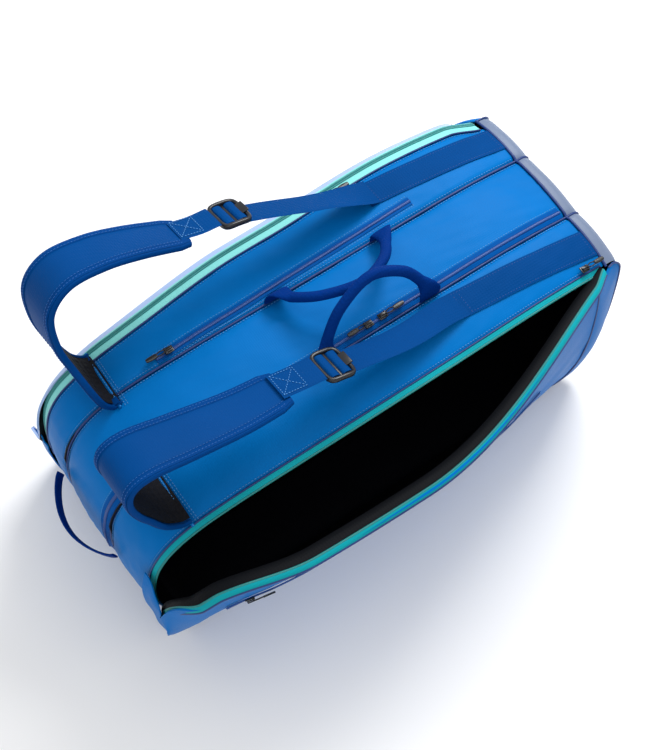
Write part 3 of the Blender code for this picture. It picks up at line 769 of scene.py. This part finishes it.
for sgn, nm, cad in ((-1, "right", "side_panel_right"), (1, "left", "side_panel_left")):
    P = side(XX, VV, sgn, seed=21 if sgn < 0 else 28)
    P = place_panel(P, sgn, XX)
    n = normals_of(P)
    n *= np.sign((n * np.array([0, sgn, 0.0])).sum(-1).mean())
    # the left panel takes the pale cloth, a painted sheen for the back light's glare; the right panel keeps the plain
    # blue
    ob = shell("side_panel_cloth_" + nm, P, P - n * 0.0028, ("panel" if sgn < 0 else "panel_painted_sheen", "charcoal"))
    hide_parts(cad)
    finish_panel(ob, sgn)

# side gussets of the base
for sg, nm in ((1, "left"), (-1, "right")):
    u = np.linspace(0, 1, 30)
    v = np.linspace(0, 1, 60)
    U, V2 = np.meshgrid(u, v, indexing="ij")
    puff = np.sin(np.pi * V2) ** 0.8
    x0, z0 = 0.3168, 0.009 + (0.3225 - 0.009) * V2
    y0 = BELLY_Y + (zip_y(x0, sg) - BELLY_Y) * V2 + 0.80 * BULGE * puff
    x1, z1 = BP.at((1 - V2) * BP.L)[:2]
    z1 = z1 - 0.0135 * smooth((z1 - 0.285) / 0.04)
    y1 = base_corner_y(z1)
    X = x0 + (x1 - 0.0004 - x0) * U
    Z = z0 + (z1 - z0) * U
    Y = y0 + (y1 - y0) * U * U + 0.024 * U * (1 - U) * puff
    Y = Y + puff * (0.0020 * lump(X, Z, 61 + sg, 0.12) + 0.0008 * lump(X, Z, 65, 0.05)) * (1 - U ** 4) * U ** 0.5
    P = np.stack([X, sg * Y, Z], -1)
    if sg < 0:
        P = open_panel(P, panel_w(X))
    n = normals_of(P)
    n *= np.sign((n * np.array([0, sg, 0.0])).sum(-1).mean())
    obs = [shell("base_gusset_" + nm, P, P - n * 0.0026, ("panel", "lining"))]
    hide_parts("base_side_" + nm)
    # piping down the two seams of the gusset
    for k2, xx in (("front", 0), ("rear", -1)):
        obs.append(pipe("base_gusset_piping_%s_%s" % (nm, k2), P[xx] + np.array([0, sg * 0.0006, 0]), 0.0014, "piping", ref=(1, 0, 0)))
    for ob in obs:
        if sg < 0:
            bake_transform(ob)
        else:
            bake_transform(ob)

# ============================================================ main zips
S_ZIP = float(s_of_x(-0.366)) + 0.10      # how far the outer zips run down the handle end


def zip_line(sgn, s, inset, off=0.0):
    x = SP.at(s)[0]
    return spine(s, sgn * (zip_y(x, 1 if sgn > 0 else -2) - inset), off, rel=False)


for sgn, nm in ((1, "left"), (-1, "right")):
    s = np.linspace(0.006, S_ZIP, 260)
    colour = "aqua" if sgn > 0 else "teal"
    rows = [zip_line(sgn, s, i, -0.0006) for i in np.linspace((EDGE_IN if sgn > 0 else EDGE_R) + 0.001, 0.0075 if sgn > 0 else -0.0018, 5)]
    P = np.stack(rows, 1)
    nrm = np.stack([SP.at(s)[2], 0 * s, SP.at(s)[3]], -1)[:, None]
    ob = tape("zip_tape_%s_inner" % nm, P, nrm, mats=(colour,))
    rides(ROOT, ob)
    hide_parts("zip_tape_%s_spine" % nm)
    Pc = zip_line(sgn, s, 0.0062 if sgn > 0 else -0.0030, 0.0006 if sgn > 0 else -0.0006)
    ob = coil("zip_coil_%s_inner" % nm, Pc, (0, 1, 0), 0.0017, 0.0011)
    rides(ROOT, ob)
    # a corded edge where the spine cloth is turned back along the tape
    Pe = zip_line(sgn, s, (EDGE_IN if sgn > 0 else EDGE_R) + 0.0004, 0.0004)
    rides(ROOT, pipe("zip_edge_%s_inner" % nm, Pe, 0.0013, "piping"))

# panel side of each zip
for sgn, nm in ((1, "left"), (-1, "right")):
    s = np.linspace(0.006, S_ZIP, 260)
    x = SP.at(s)[0]
    if sgn > 0:
        rows = []
        for i, o in ((-0.0040 + 0.0002, -0.0002), (-0.0022, -0.0002), (0.0005, -0.0008), (0.0035, -0.0028), (0.0055, -0.0062)):
            rows.append(spine(s, sgn * (zip_y(x, sgn) + i), o, rel=False))
        P = np.stack(rows, 1)
        Pc = spine(s, sgn * (zip_y(x, sgn) - 0.0028), 0.0006, rel=False)
        nrm = np.stack([SP.at(s)[2], 0.5 + 0 * s, SP.at(s)[3]], -1)[:, None]
        edge = rows[-1] + np.array([0, 0.0008, 0])
        colour = "aqua"
        xr = x
    else:
        # follows the open panel's edge: the same line, turned about the belly with the panel
        rows = []
        for i, o in ((-0.0042, 0.0014), (-0.0024, 0.0020), (-0.0006, 0.0022), (0.0012, 0.0018), (0.0026, 0.0004)):
            rows.append(spine(s, sgn * (zip_y(x, -1) + i), o, rel=False))
        P = np.stack(rows, 1)
        P = open_panel(P, panel_w(np.broadcast_to(x[:, None], P.shape[:2])))
        Pc = open_panel(spine(s, sgn * (zip_y(x, -1) - 0.0052), 0.0008, rel=False), panel_w(x))
        nrm = np.array([0, -0.6, 0.8])
        edge = P[:, -1] + np.array([0, -0.0008, 0])
        colour = "teal"
    if sgn < 0:
        rf = []
        for i, o in ((-0.0068, -0.0004), (-0.0100, -0.0022), (-0.0140, -0.0058), (-0.0170, -0.0105), (-0.0185, -0.0160)):
            rf.append(spine(s, sgn * (zip_y(x, -1) + i), o, rel=False))
        F_ = np.stack(rf, 1)
        F_ = open_panel(F_, panel_w(np.broadcast_to(x[:, None], F_.shape[:2])))
        finish_panel(tape("zip_facing_right", F_, np.array([0, 0.6, 0.8]), 0.0012, ("charcoal",)), sgn)
    ob = tape("zip_tape_%s_outer" % nm, P, nrm, mats=(colour,))
    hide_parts("zip_tape_%s_panel" % nm)
    finish_panel(ob, sgn)
    finish_panel(coil("zip_coil_%s_outer" % nm, Pc, (0, 1, 0), 0.0017, 0.0011), sgn)
    finish_panel(pipe("zip_edge_%s_outer" % nm, edge, 0.0016, "piping"), sgn)

# the cloth between the spine and each side panel at the handle end, below the zip's lower end
nA, nB = 50, 16
by_z = np.argsort(-SP.C[::-1, 1])
for sg, nm, z_top, dip in ((-1, "right", 0.262, 0.0), (1, "left", 0.172, 0.0)):
    zt = np.linspace(0.008, z_top, nA)
    sA = np.interp(-zt, -SP.C[::-1, 1][by_z], SP.s[::-1][by_z])
    xA = SP.at(sA)[0]
    inset = EDGE_R if sg < 0 else EDGE_IN
    A_ = np.stack([xA + 0.0012, sg * (zip_y(xA, -2 if sg < 0 else 1) - inset - 0.0010), zt], -1)
    xB = np.interp(zt, [0.008, 0.022, 0.064, 0.110, 0.150, 0.215], [-0.337, -0.345, -0.3600, -0.3680, -0.3708, -0.3712])
    r0, r1 = _side_rows(xB)[:2]
    B_ = side(xB, np.clip((zt - r0) / (r1 - r0), 0, 1), sg)
    if sg < 0:
        B_ = open_panel(B_, panel_w(xB))
    q = np.linspace(0, 1, nB)
    G = A_[:, None] * (1 - q)[None, :, None] + B_[:, None] * q[None, :, None]
    wide = np.linalg.norm(B_ - A_, axis=1)
    G[..., 0] += np.sin(np.pi * q)[None] * ((0.09 * smooth((zt - 0.08) / 0.09) - 0.05) * wide)[:, None] + 0.0008 * np.sin(q * 9)[None] * smooth((zt - 0.03) / 0.05)[:, None]
    G[..., 2] -= dip * smooth((zt - z_top + 0.065) / 0.065)[:, None] * np.sin(np.pi * q)[None]
    n = normals_of(G)
    n *= np.sign((n * np.array([-1.0, 0, 0])).sum(-1).mean())
    ob = shell("handle_end_gore_" + nm, G, G - n * 0.0016, ("panel" if sg < 0 else "blue", "charcoal"))
    if sg < 0:
        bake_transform(ob)
    else:
        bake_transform(ob)

# middle compartment's zip and the short pocket zip, in the bag's own blue
for nm, cad, line in (
        ("middle", "zip_tape_middle", lambda s, o: spine(s, np.full_like(s, -SEAM_Y + 0.0095 + o), 0.0, rel=True)),):
    s = np.linspace(0.004, S_ZIP, 300)
    rows = [line(s, o) for o in (-0.0075, -0.0035, 0.0, 0.0035, 0.0075)]
    P = np.stack(rows, 1)
    nrm = np.stack([SP.at(s)[2], 0 * s, SP.at(s)[3]], -1)[:, None]
    P = P + nrm * 0.0004
    ob = tape("zip_tape_closed_" + nm, P, nrm, 0.0008, ("tonal",))
    rides(ROOT, ob)
    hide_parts(cad)
    rides(ROOT, coil("zip_coil_" + nm, line(s, 0.0) + nrm[:, 0] * 0.0014, (0, 1, 0), 0.0024, 0.0010, mat="coil_blue"))


def pocket_line(u, o=0.0, off=0.0):
    x = -0.215 + 0.400 * u
    y = 0.0585 + 0.0115 * u + 0.00525 + o
    return spine(s_of_x(x), y, off, 4)


u = np.linspace(0, 1, 160)
P = np.stack([pocket_line(u, o, 0.0005) for o in (-0.006, -0.003, 0, 0.003, 0.006)], 1)
ob = tape("zip_tape_closed_pocket", P, UP, 0.0008, ("tonal",))
rides(ROOT, ob)
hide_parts("zip_tape_pocket")
rides(ROOT, coil("zip_coil_pocket", pocket_line(u, 0, 0.0016), (0, 1, 0), 0.0024, 0.0010, mat="coil_blue"))

# ============================================================ stitching on the shell
lines = []
s = np.linspace(0.004, SP.L * 0.80, 400)
nr = np.stack([SP.at(s)[2], 0 * s, SP.at(s)[3]], -1)
for y, sd in ((SEAM_Y - 0.0045, 3), (-SEAM_Y - 0.0045, 5), (SEAM_Y + 0.0045, 4), (-SEAM_Y + 0.0190, 3)):
    lines.append((spine(s, np.full_like(s, y), 0.0001, sd), nr))
x = SP.at(s)[0]
lines.append((spine(s, zip_y(x, 1) - EDGE_IN - 0.0045, 0.0001, 4), nr))
lines.append((spine(s, -zip_y(x, -2) + EDGE_R + 0.0045, 0.0001, 5), nr))
for o in (-0.0085, 0.0085):
    lines.append((pocket_line(u, o, 0.0001), UP))
lines.append((np.stack([pocket_line(np.array([1.0]), o, 0.0002)[0] for o in np.linspace(-0.0085, 0.0085, 12)]), UP))
rides(ROOT, stitches("shell_stitching", lines, mat="thread"))

# ============================================================ sewn webbing strips on the spine
STITCH_X = 0.150
WEB_Y = {1: (0.1135, 0.0960), -1: (-0.0850, -0.1020)}      # where each strip runs, near the stitch and at the base


def web_y(x, sg):
    t = (x - STITCH_X) / (0.350 - STITCH_X)
    a, b = WEB_Y[sg]
    return a + (b - a) * t


lines = []
for sg, nm in ((1, "left"), (-1, "right")):
    x = np.linspace(STITCH_X - 0.012, 0.3515, 120)
    v = np.linspace(-1, 1, 14)
    X, Vv = np.meshgrid(x, v, indexing="ij")
    Y = web_y(X, sg) + 0.0195 * Vv
    S = s_of_x(X)
    P = spine(S, Y, 0.0006 + 0.0004 * (1 - Vv ** 6), 4 if sg > 0 else 5)
    ob = tape("webbing_sewn_" + nm, P, UP, 0.0014, ("web",))
    rides(ROOT, ob)
    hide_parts("webbing_strip_" + nm)
    for o in (-0.0165, 0.0165):
        lines.append((spine(s_of_x(x), web_y(x, sg) + o, 0.0020, 4 if sg > 0 else 5), UP))
    for xx in (STITCH_X - 0.006, STITCH_X + 0.002, 0.347):
        yv = web_y(xx, sg) + np.linspace(-0.0165, 0.0165, 30)
        lines.append((spine(s_of_x(np.full(30, xx)), yv, 0.0021, 4 if sg > 0 else 5), UP))
rides(ROOT, stitches("webbing_stitching", lines, mat="thread_dark"))

# ============================================================ shoulder straps
STRAP_Y, STRAP_AXIS_Z = 0.102, 0.346
STRAP = {
    "left": dict(s=1, lean=20.0,
                 pad=[(-0.279, -0.012), (-0.288, -0.008), (-0.301, 0.014), (-0.310, 0.045), (-0.315, 0.085), (-0.307, 0.128),
                      (-0.277, 0.150), (-0.232, 0.148), (-0.185, 0.134), (-0.124, 0.1085)],
                 tab=[(-0.133, 0.1115), (-0.105, 0.1040), (-0.078, 0.1010)], buckle=(-0.056, 0.0985),
                 web=[(-0.0560, 0.0968), (0.000, 0.0735), (0.060, 0.0460), (0.110, 0.0220), (0.138, 0.0050), (0.150, -0.0015)]),
    "right": dict(s=-1, lean=15.0,
                  pad=[(-0.289, -0.014), (-0.301, -0.009), (-0.320, 0.016), (-0.337, 0.050), (-0.347, 0.082), (-0.340, 0.104),
                       (-0.314, 0.109), (-0.262, 0.096), (-0.190, 0.079), (-0.130, 0.0725)],
                  tab=[(-0.139, 0.0760), (-0.108, 0.0690), (-0.080, 0.0640)], buckle=(-0.058, 0.0590),
                  web=[(-0.0580, 0.0575), (0.000, 0.0410), (0.060, 0.0240), (0.110, 0.0090), (0.134, 0.0010), (0.148, -0.0040)]),
}


def strap_point(side, x, h):
    """A point of the strap's middle line; the lean grows from the seam upwards. The line drifts
    across from the seam's own place on the spine at each end."""
    d = STRAP[side]
    lean = math.radians(d["lean"]) * smooth(h / 0.045)
    y0 = d["s"] * STRAP_Y
    base = (0.080 if side == "left" else -0.092)
    end = WEB_Y[d["s"]][0]
    w0 = smooth((-0.20 - x) / 0.08) * smooth(1 - h / 0.06)
    w1 = smooth((x + 0.02) / 0.15) * smooth(1 - h / 0.06)
    y = y0 + (base - y0) * w0 + (end - y0) * w1
    up = np.stack([0 * x, np.sin(lean), np.cos(lean)], -1)
    lat = np.stack([0 * x, np.cos(lean), -np.sin(lean)], -1)
    P = np.stack([x, y + 0 * x, np.full_like(x, STRAP_AXIS_Z)], -1) + up * h[:, None]
    return P, lat


def strap_path(side, ctrl, n):
    C = catmull(ctrl, n)
    return strap_point(side, C[:, 0], C[:, 1])


def lay_down(P, clear):
    """Keep points over the spine's cloth."""
    y = P[..., 1]
    x = np.clip(P[..., 0], -0.33, 0.35)
    S = s_of_x(x)
    px, pz, nx, nz = SP.at(S)
    c = crown(y, x) + relief(S, y, 4)
    zmin = pz + c + clear
    Q = P.copy()
    mask = P[..., 0] > -0.30
    Q[..., 2] = np.where(mask, np.maximum(P[..., 2], zmin), P[..., 2])
    return Q


def band(name, P, lat, half, t_in, t_out, mats, nv=15, edge_round=0.5, clear=0.0012, puff=0.0):
    """Flat band along P, its width along lat; the two faces lie t_in and t_out off the line."""
    T = np.gradient(P, axis=0)
    T /= np.linalg.norm(T, axis=1)[:, None]
    n = np.cross(T, lat)
    n /= np.linalg.norm(n, axis=1)[:, None]
    # outer side: away from the loop's middle, which is up on the top run
    k = len(P) * 2 // 3
    if n[k][2] < 0:
        n = -n
    half = np.broadcast_to(half, len(P))
    v = np.linspace(-1, 1, nv)
    r = (1 - np.abs(v) ** 6) ** 0.5
    pz = puff * (1 - v ** 4)
    mid = 0.5 * (t_in + t_out)
    ht = 0.5 * (t_out - t_in)
    base = P[:, None] + lat[:, None] * (half[:, None] * v[None])[..., None]
    o = base + n[:, None] * (mid + ht * r + pz)[None, :, None]
    i = base + n[:, None] * (mid - ht * r)[None, :, None]
    o, i = lay_down(o, clear + 0.001), lay_down(i, clear)
    V = np.vstack([o.reshape(-1, 3), i.reshape(-1, 3)])
    return shell(name, o, i, mats), n


def buckle(name, c, ex, ey, ez):
    """Ladder lock: the rounded black frame alone; its bars and thumb tab come from buckle_parts."""
    n = 96
    th = np.linspace(0, 2 * np.pi, n)
    e = 2 / 5.0
    cx = np.sign(np.cos(th)) * np.abs(np.cos(th)) ** e
    cy = np.sign(np.sin(th)) * np.abs(np.sin(th)) ** e
    lift = 0.0030 - 0.0016 * np.abs(cx) ** 2
    path = c + ex * (0.0185 * cx)[:, None] + ey * (0.0235 * cy)[:, None] + ez * lift[:, None]
    T = np.roll(path, -1, 0) - np.roll(path, 1, 0)
    T[0] = T[-1] = path[1] - path[-2]
    T /= np.linalg.norm(T, axis=1)[:, None]
    B = np.cross(T, np.tile(ez, (n, 1)))
    B /= np.linalg.norm(B, axis=1)[:, None]
    A = np.cross(B, T)
    frame_ = sweep(name, path, A, B, 0.0036, 0.0027, ("plastic",), 14, power=3.2)
    return frame_


def buckle_parts(nm, c, ex, ey, ez):
    ax = (ex, ey, ez)
    bars = boxes("strap_buckle_bars_" + nm, [
        (c + ez * 0.0008, (0.0020, 0.0225, 0.0016), ax),
        (c + ex * 0.0170 + ez * 0.0052, (0.0052, 0.0100, 0.0013), (ex * 0.93 + ez * 0.37, ey, ez * 0.93 - ex * 0.37)),
    ], "plastic", 0.0011, 3)
    # two passes of webbing over the bars
    obs = [bars]
    n, m = 26, 25
    for k, x0 in enumerate((-0.0085, 0.0085)):
        q = np.linspace(-1, 1, n)
        v = np.linspace(-1, 1, m)
        hump = 0.0058 * np.sqrt(np.maximum(0, 1 - np.abs(q) ** 2.6)) - 0.0006
        out = c + ex * (x0 + 0.0072 * q)[:, None, None] + ey * (0.0192 * v)[None, :, None] + ez * (hump[:, None] + 0.00035 * (np.arange(m) % 2)[None] * np.ones((n, 1)))[..., None]
        inn = c + ex * (x0 + 0.0060 * q)[:, None, None] + ey * (0.0190 * v)[None, :, None] + ez * (hump * 0.7 - 0.0022)[:, None, None] + 0 * out
        obs.append(shell("strap_webbing_in_buckle_%s_%d" % (nm, k), out, inn, ("web",)))
    return obs


for side_name in ("left", "right"):
    d = STRAP[side_name]
    body = side_name + "_strap"
    n = 170
    P, lat = strap_path(side_name, d["pad"], n)
    s = np.linspace(0, 1, n)
    half = 0.0400 - 0.0025 * smooth(s / 0.20) - 0.0095 * smooth((s - 0.45) / 0.55)
    half = half + 0.0012 * np.sin(s * 9)
    half[-8:] *= np.linspace(1, 0.86, 8)
    pad, nn = band("strap_pad_cloth_" + side_name, P, lat, half, 0.0002, 0.0062, ("pad",), 25, puff=0.0008)
    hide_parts("strap_pad_" + side_name)
    lin_, _ = band("strap_mesh_" + side_name, P, lat, half - 0.0035, -0.0022, -0.0002, ("mesh",), 17, puff=0.0)
    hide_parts("strap_lining_" + side_name)
    objs = [pad, lin_]
    for sg, k in ((-1, "a"), (1, "b")):
        E = lay_down(P + lat * (half * sg)[:, None] + nn * 0.0024, 0.003)
        A, B, T = frames(E, lat[len(lat) // 2])
        objs.append(sweep("strap_binding_%s_%s" % (side_name, k), E, lat - T * (lat * T).sum(1)[:, None], nn, 0.0024, 0.0040, ("bind",), 12))
    for sg, k in ((-1, "a"), (1, "b")):
        Pb = P + lat * ((half - 0.0046) * sg)[:, None]
        bb, _ = band("strap_binding_face_%s_%s" % (side_name, k), Pb, lat, 0.0046, 0.0058, 0.0078, ("bind",), 9, clear=0.007)
        objs.append(bb)
    # stitching on the binding
    ln = []
    for sg in (-1, 1):
        ln.append((lay_down(P + lat * ((half - 0.0078) * sg)[:, None] + nn * 0.0080, 0.009)[6:-4], nn[6:-4]))
        ln.append((lay_down(P + lat * ((half - 0.0030) * sg)[:, None] + nn * 0.0078, 0.009)[6:-4], nn[6:-4]))
    objs.append(stitches("strap_stitching_" + side_name, ln, mat="thread_mid", r=0.00030))
    # the line where the strap is sewn in: a folded edge of cloth with two rows of stitching
    xs0 = -0.2830 if side_name == "left" else -0.2930
    yc = 0.080 if side_name == "left" else -0.092
    yv = yc + np.linspace(-0.045, 0.045, 60)
    xl = xs0 + 0.0 * yv
    E0 = spine(s_of_x(xl), yv, 0.0026, 4 if d["s"] > 0 else 5)
    fold = pipe("strap_seam_fold_" + side_name, E0, 0.0021, "blue", 12)
    rides(ROOT, fold)
    rows_ = [(spine(s_of_x(xl + o), yv, 0.0005 + h, 4 if d["s"] > 0 else 5), UP) for o, h in ((0.0008, 0.0044), (0.0060, 0.0), (0.0095, 0.0))]
    rides(ROOT, stitches("strap_seam_stitching_" + side_name, rows_, mat="thread"))
    # tab between pad and buckle
    Pt, lt = strap_path(side_name, d["tab"], 24)
    tab, nt_ = band("strap_tab_cloth_" + side_name, Pt, lt, 0.0205, 0.0068, 0.0092, ("web",), 9)
    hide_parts("strap_tab_" + side_name)
    objs.append(tab)
    # crossed stitching in a box on the tab
    T0, T1 = 1, 13
    cor = [Pt[T0] - lt[T0] * 0.0165, Pt[T0] + lt[T0] * 0.0165, Pt[T1] + lt[T1] * 0.0165, Pt[T1] - lt[T1] * 0.0165]
    cor = [c + nt_[6] * 0.0096 for c in cor]
    L = lambda a, b: np.linspace(a, b, 20)
    objs.append(stitches("strap_tab_stitching_" + side_name,
                         [(L(cor[0], cor[1]), nt_[6]), (L(cor[1], cor[2]), nt_[6]), (L(cor[2], cor[3]), nt_[6]),
                          (L(cor[3], cor[0]), nt_[6]), (L(cor[0], cor[2]), nt_[6]), (L(cor[1], cor[3]), nt_[6])],
                         mat="thread", r=0.00042, length=0.0026))
    # loose webbing from the buckle to its stitching on the spine
    Pw, lw = strap_path(side_name, d["web"], 110)
    web, _ = band("strap_webbing_loose_" + side_name, Pw, lw, 0.0195, -0.0008, 0.0008, ("web",), 11, clear=0.0022)
    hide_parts("strap_webbing_" + side_name)
    objs.append(web)
    for o in objs:
        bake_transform(o)
    # ladder lock
    c0 = strap_path(side_name, [d["tab"][-1], d["web"][0]], 3)
    cen, latc = c0[0][1], c0[1][1]
    ex = c0[0][2] - c0[0][0]
    ex /= np.linalg.norm(ex)
    ez = np.cross(ex, latc)
    if ez[2] < 0:
        ez = -ez
    b = buckle("strap_buckle_moulded_" + side_name, cen + ex * 0.010 + ez * 0.0015, ex, latc, ez)
    rides(body, b)
    rides(body, *buckle_parts(side_name, cen + ex * 0.010 + ez * 0.0015, ex, latc, ez))
    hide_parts("strap_buckle_" + side_name)

# ============================================================ grab handles
HX, HZ = (-0.045, 0.120), 0.352
for nm, sg, lean in (("left", 1, -52.0), ("right", -1, 20.0)):
    xa, xb = HX
    ctrl = [(xa, -0.012), (xa + 0.001, 0.004), (xa + 0.010, 0.028), (xa + 0.036, 0.064), (0.5 * (xa + xb), 0.0865),
            (xb - 0.036, 0.064), (xb - 0.010, 0.028), (xb - 0.001, 0.004), (xb, -0.012)]
    C = catmull(ctrl, 120)
    h = C[:, 1]
    lean_h = math.radians(lean) * smooth(h / 0.030)
    # the lean grows with height, so that the handle bends over from its seam
    P = np.stack([C[:, 0], sg * SEAM_Y + h * np.sin(lean_h), HZ - 0.002 + h * np.cos(lean_h)], -1)
    s = np.linspace(0, 1, 120)
    e = np.minimum(s, 1 - s)
    k = smooth((e - 0.045) / 0.13)
    a = 0.0165 + (0.0072 - 0.0165) * k
    b = 0.0013 + (0.0060 - 0.0013) * k
    up = np.stack([0 * h, np.sin(lean_h), np.cos(lean_h)], -1)
    outn = np.stack([0 * h, np.cos(lean_h), -np.sin(lean_h)], -1)
    T = np.gradient(P, axis=0)
    T /= np.linalg.norm(T, axis=1)[:, None]
    # width direction lies in the loop's plane, square to the path; at the ends it is along the seam
    W = np.cross(outn, T)
    W /= np.linalg.norm(W, axis=1)[:, None]
    kk = smooth((e - 0.02) / 0.10)[:, None]
    X1 = np.array([1.0, 0, 0]) * np.sign(W[:, :1] + 1e-9)
    W = X1 * (1 - kk) + W * kk
    W /= np.linalg.norm(W, axis=1)[:, None]
    ob = sweep("grab_handle_webbing_" + nm, P, W, outn, a, b, ("handle",), 20, power=2.3)
    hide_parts("grab_handle_" + nm)
    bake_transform(ob)

# handle-end loop
y = np.linspace(0.056, -0.078, 60)
q = np.linspace(0, 1, 60)
outx = 0.030 * np.sin(np.pi * q) ** 0.75
P = np.stack([-0.3765 - outx, y, 0.205 - 0.30 * outx], -1)
up = np.tile(np.array([-0.25, 0, 0.97]), (60, 1))
up /= np.linalg.norm(up, axis=1)[:, None]
T = np.gradient(P, axis=0)
T /= np.linalg.norm(T, axis=1)[:, None]
nb = np.cross(up, T)
nb /= np.linalg.norm(nb, axis=1)[:, None]
ob = sweep("grab_handle_webbing_end", P, up, nb, 0.0115, 0.0016, ("handle",), 16, power=3.0)
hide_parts("grab_handle_end")
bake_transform(ob)

# ============================================================ zip sliders and pull tabs


def slider_piece(key, c, ex, ey, ez, body_s, body_p, big=True):
    ax = (ex, ey, ez)
    it = [(c + ez * 0.0006, (0.0062, 0.0046, 0.0009), ax), (c + ez * 0.0026 + ex * 0.0005, (0.0050, 0.0030, 0.0008), ax),
          (c + ex * 0.0046 + ez * 0.0016, (0.0014, 0.0044, 0.0016), ax),
          (c + ez * 0.0044, (0.0040, 0.0010, 0.0007), ax), (c + ez * 0.0034 - ex * 0.0036, (0.0008, 0.0010, 0.0014), ax),
          (c + ez * 0.0034 + ex * 0.0036, (0.0008, 0.0010, 0.0014), ax)]
    ob = boxes("slider_body_" + key, it, "metal", 0.0005, 2)
    rides(body_s, ob)
    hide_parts("slider_" + key)
    p = c + ez * 0.0040 + ex * 0.0022
    L = 0.030
    th = np.linspace(0, 2 * np.pi, 40, endpoint=False)
    # cord loop from the pin to a moulded grip
    loop = []
    for t in np.linspace(0, 1, 40):
        w = 0.0026 * math.sin(math.pi * min(1, t * 1.0))
        loop.append((t, w))
    A1 = [p + ex * (0.001 + t * 0.016) + ey * w + ez * 0.0003 for t, w in loop]
    A2 = [p + ex * (0.001 + t * 0.016) - ey * w + ez * 0.0003 for t, w in loop][::-1]
    path = np.array(A1 + A2[1:])
    o1 = pipe("pull_cord_" + key, path, 0.00085, "cord", 8, ref=ez)
    n = 24
    q = np.linspace(0, 1, n)
    gp = p + ex * (0.0145 + 0.0155 * q)[:, None] + ez * 0.0004
    wa = 0.0020 + 0.0014 * np.sin(np.pi * np.clip(q * 0.9 + 0.1, 0, 1)) ** 0.6
    o2 = sweep("pull_grip_" + key, gp, np.tile(ey, (n, 1)), np.tile(ez, (n, 1)), wa, 0.0013, ("metal",), 14, power=3.2)
    rides(body_p, o1, o2)
    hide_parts("pull_" + key)


def corner(node):
    lo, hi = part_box(node)
    return np.array(lo), np.array(hi)


EX, EY, EZ = np.array([1.0, 0, 0]), np.array([0, 1.0, 0]), np.array([0, 0, 1.0])
for key, d in (("middle_front", -1), ("middle_rear", 1), ("pocket", -1), ("left_zip", 1), ("right_zip", 1)):
    lo, hi = corner("slider_" + key)
    c = 0.5 * (lo + hi)
    ex, ez = EX * d, EZ.copy()
    if key == "right_zip":
        ex = np.array([0.98835, 0, -0.15217])
        ez = np.array([0.15217, 0, 0.98835])
    ey = np.cross(ez, ex)
    c = c - ez * (0.5 * (hi[2] - lo[2]) if key != "right_zip" else 0.0015)
    slider_piece(key, c, ex, ey, ez, "slider_" + key, "pull_" + key)
_x = np.array([[-0.276, -0.276], [-0.270, -0.270], [-0.264, -0.264]])
_v = np.array([[0.7150, 0.7200]] * 3)
_P = open_panel(side(_x, _v, -1), panel_w(_x))
c = _P[1].mean(0)
ex = _P[2].mean(0) - _P[0].mean(0)
ex /= np.linalg.norm(ex)
ez = np.cross(ex, _P[1, 1] - _P[1, 0])
ez /= np.linalg.norm(ez)
if ez[1] > 0:
    ez = -ez
ey = np.cross(ez, ex)
slider_piece("side_pocket", c + ez * 0.0030, ex, ey, ez, "slider_side_pocket", "pull_side_pocket")

# side pocket zip on the right panel
x = np.linspace(-0.300, 0.200, 150)
rows = []
for v in (0.700, 0.709, 0.7175, 0.726, 0.735):
    rows.append(side(x, np.full_like(x, v), -1, off=0.0012))
P = open_panel(np.stack(rows, 1), panel_w(np.broadcast_to(x[:, None], (150, 5))))
ob = tape("side_pocket_zip_tape", P, np.array([0, -1.0, 0]), 0.0008, ("tonal",))
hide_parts("side_pocket_zip")
finish_panel(ob, -1)
finish_panel(coil("side_pocket_zip_coil", P[:, 2] + np.array([0, -0.0012, -0.0003]), (0, 0, 1), 0.0024, 0.0010, mat="coil_blue"), -1)

# ============================================================ stage


def stage_plane(name, size, z, mat):
    me = bpy.data.meshes.new(name)
    me.from_pydata([(-size, -size, z), (size, -size, z), (size, size, z), (-size, size, z)], [], [(0, 1, 2, 3)])
    me.materials.append(mat)
    ob = bpy.data.objects.new(name, me)
    scene.collection.objects.link(ob)
    return ob


fm, fnt, fb = new_mat("floor_pale")
fb.inputs["Base Color"].default_value = (0.93, 0.93, 0.93, 1)
fb.inputs["Roughness"].default_value = 0.8
fb.inputs["Specular IOR Level"].default_value = 0.2
stage_plane("floor", 12.0, -0.0004, fm)


def area(name, loc, target, size, power, colour=(1, 1, 1), size_y=None):
    li = bpy.data.lights.new(name, "AREA")
    li.energy = power
    li.color = colour
    li.size = size
    if size_y:
        li.shape = "RECTANGLE"
        li.size_y = size_y
    ob = bpy.data.objects.new(name, li)
    scene.collection.objects.link(ob)
    ob.location = loc
    d = Vector(target) - Vector(loc)
    ob.rotation_euler = d.to_track_quat("-Z", "Y").to_euler()
    return ob


world = bpy.data.worlds.new("studio")
scene.world = world
world.use_nodes = True
bg = world.node_tree.nodes["Background"]
bg.inputs["Color"].default_value = (1.0, 1.0, 1.0, 1)
bg.inputs["Strength"].default_value = 0.70
area("key", (1.30, 0.80, 2.0), (0.15, 0, 0.2), 1.0, 44)
area("fill", (-1.6, -1.8, 2.0), (0, 0, 0.2), 1.8, 12)
area("top", (0.3, 0.1, 2.9), (0.1, 0, 0.2), 1.4, 10)
scene.view_settings.view_transform = "Standard"
scene.view_settings.look = "None"
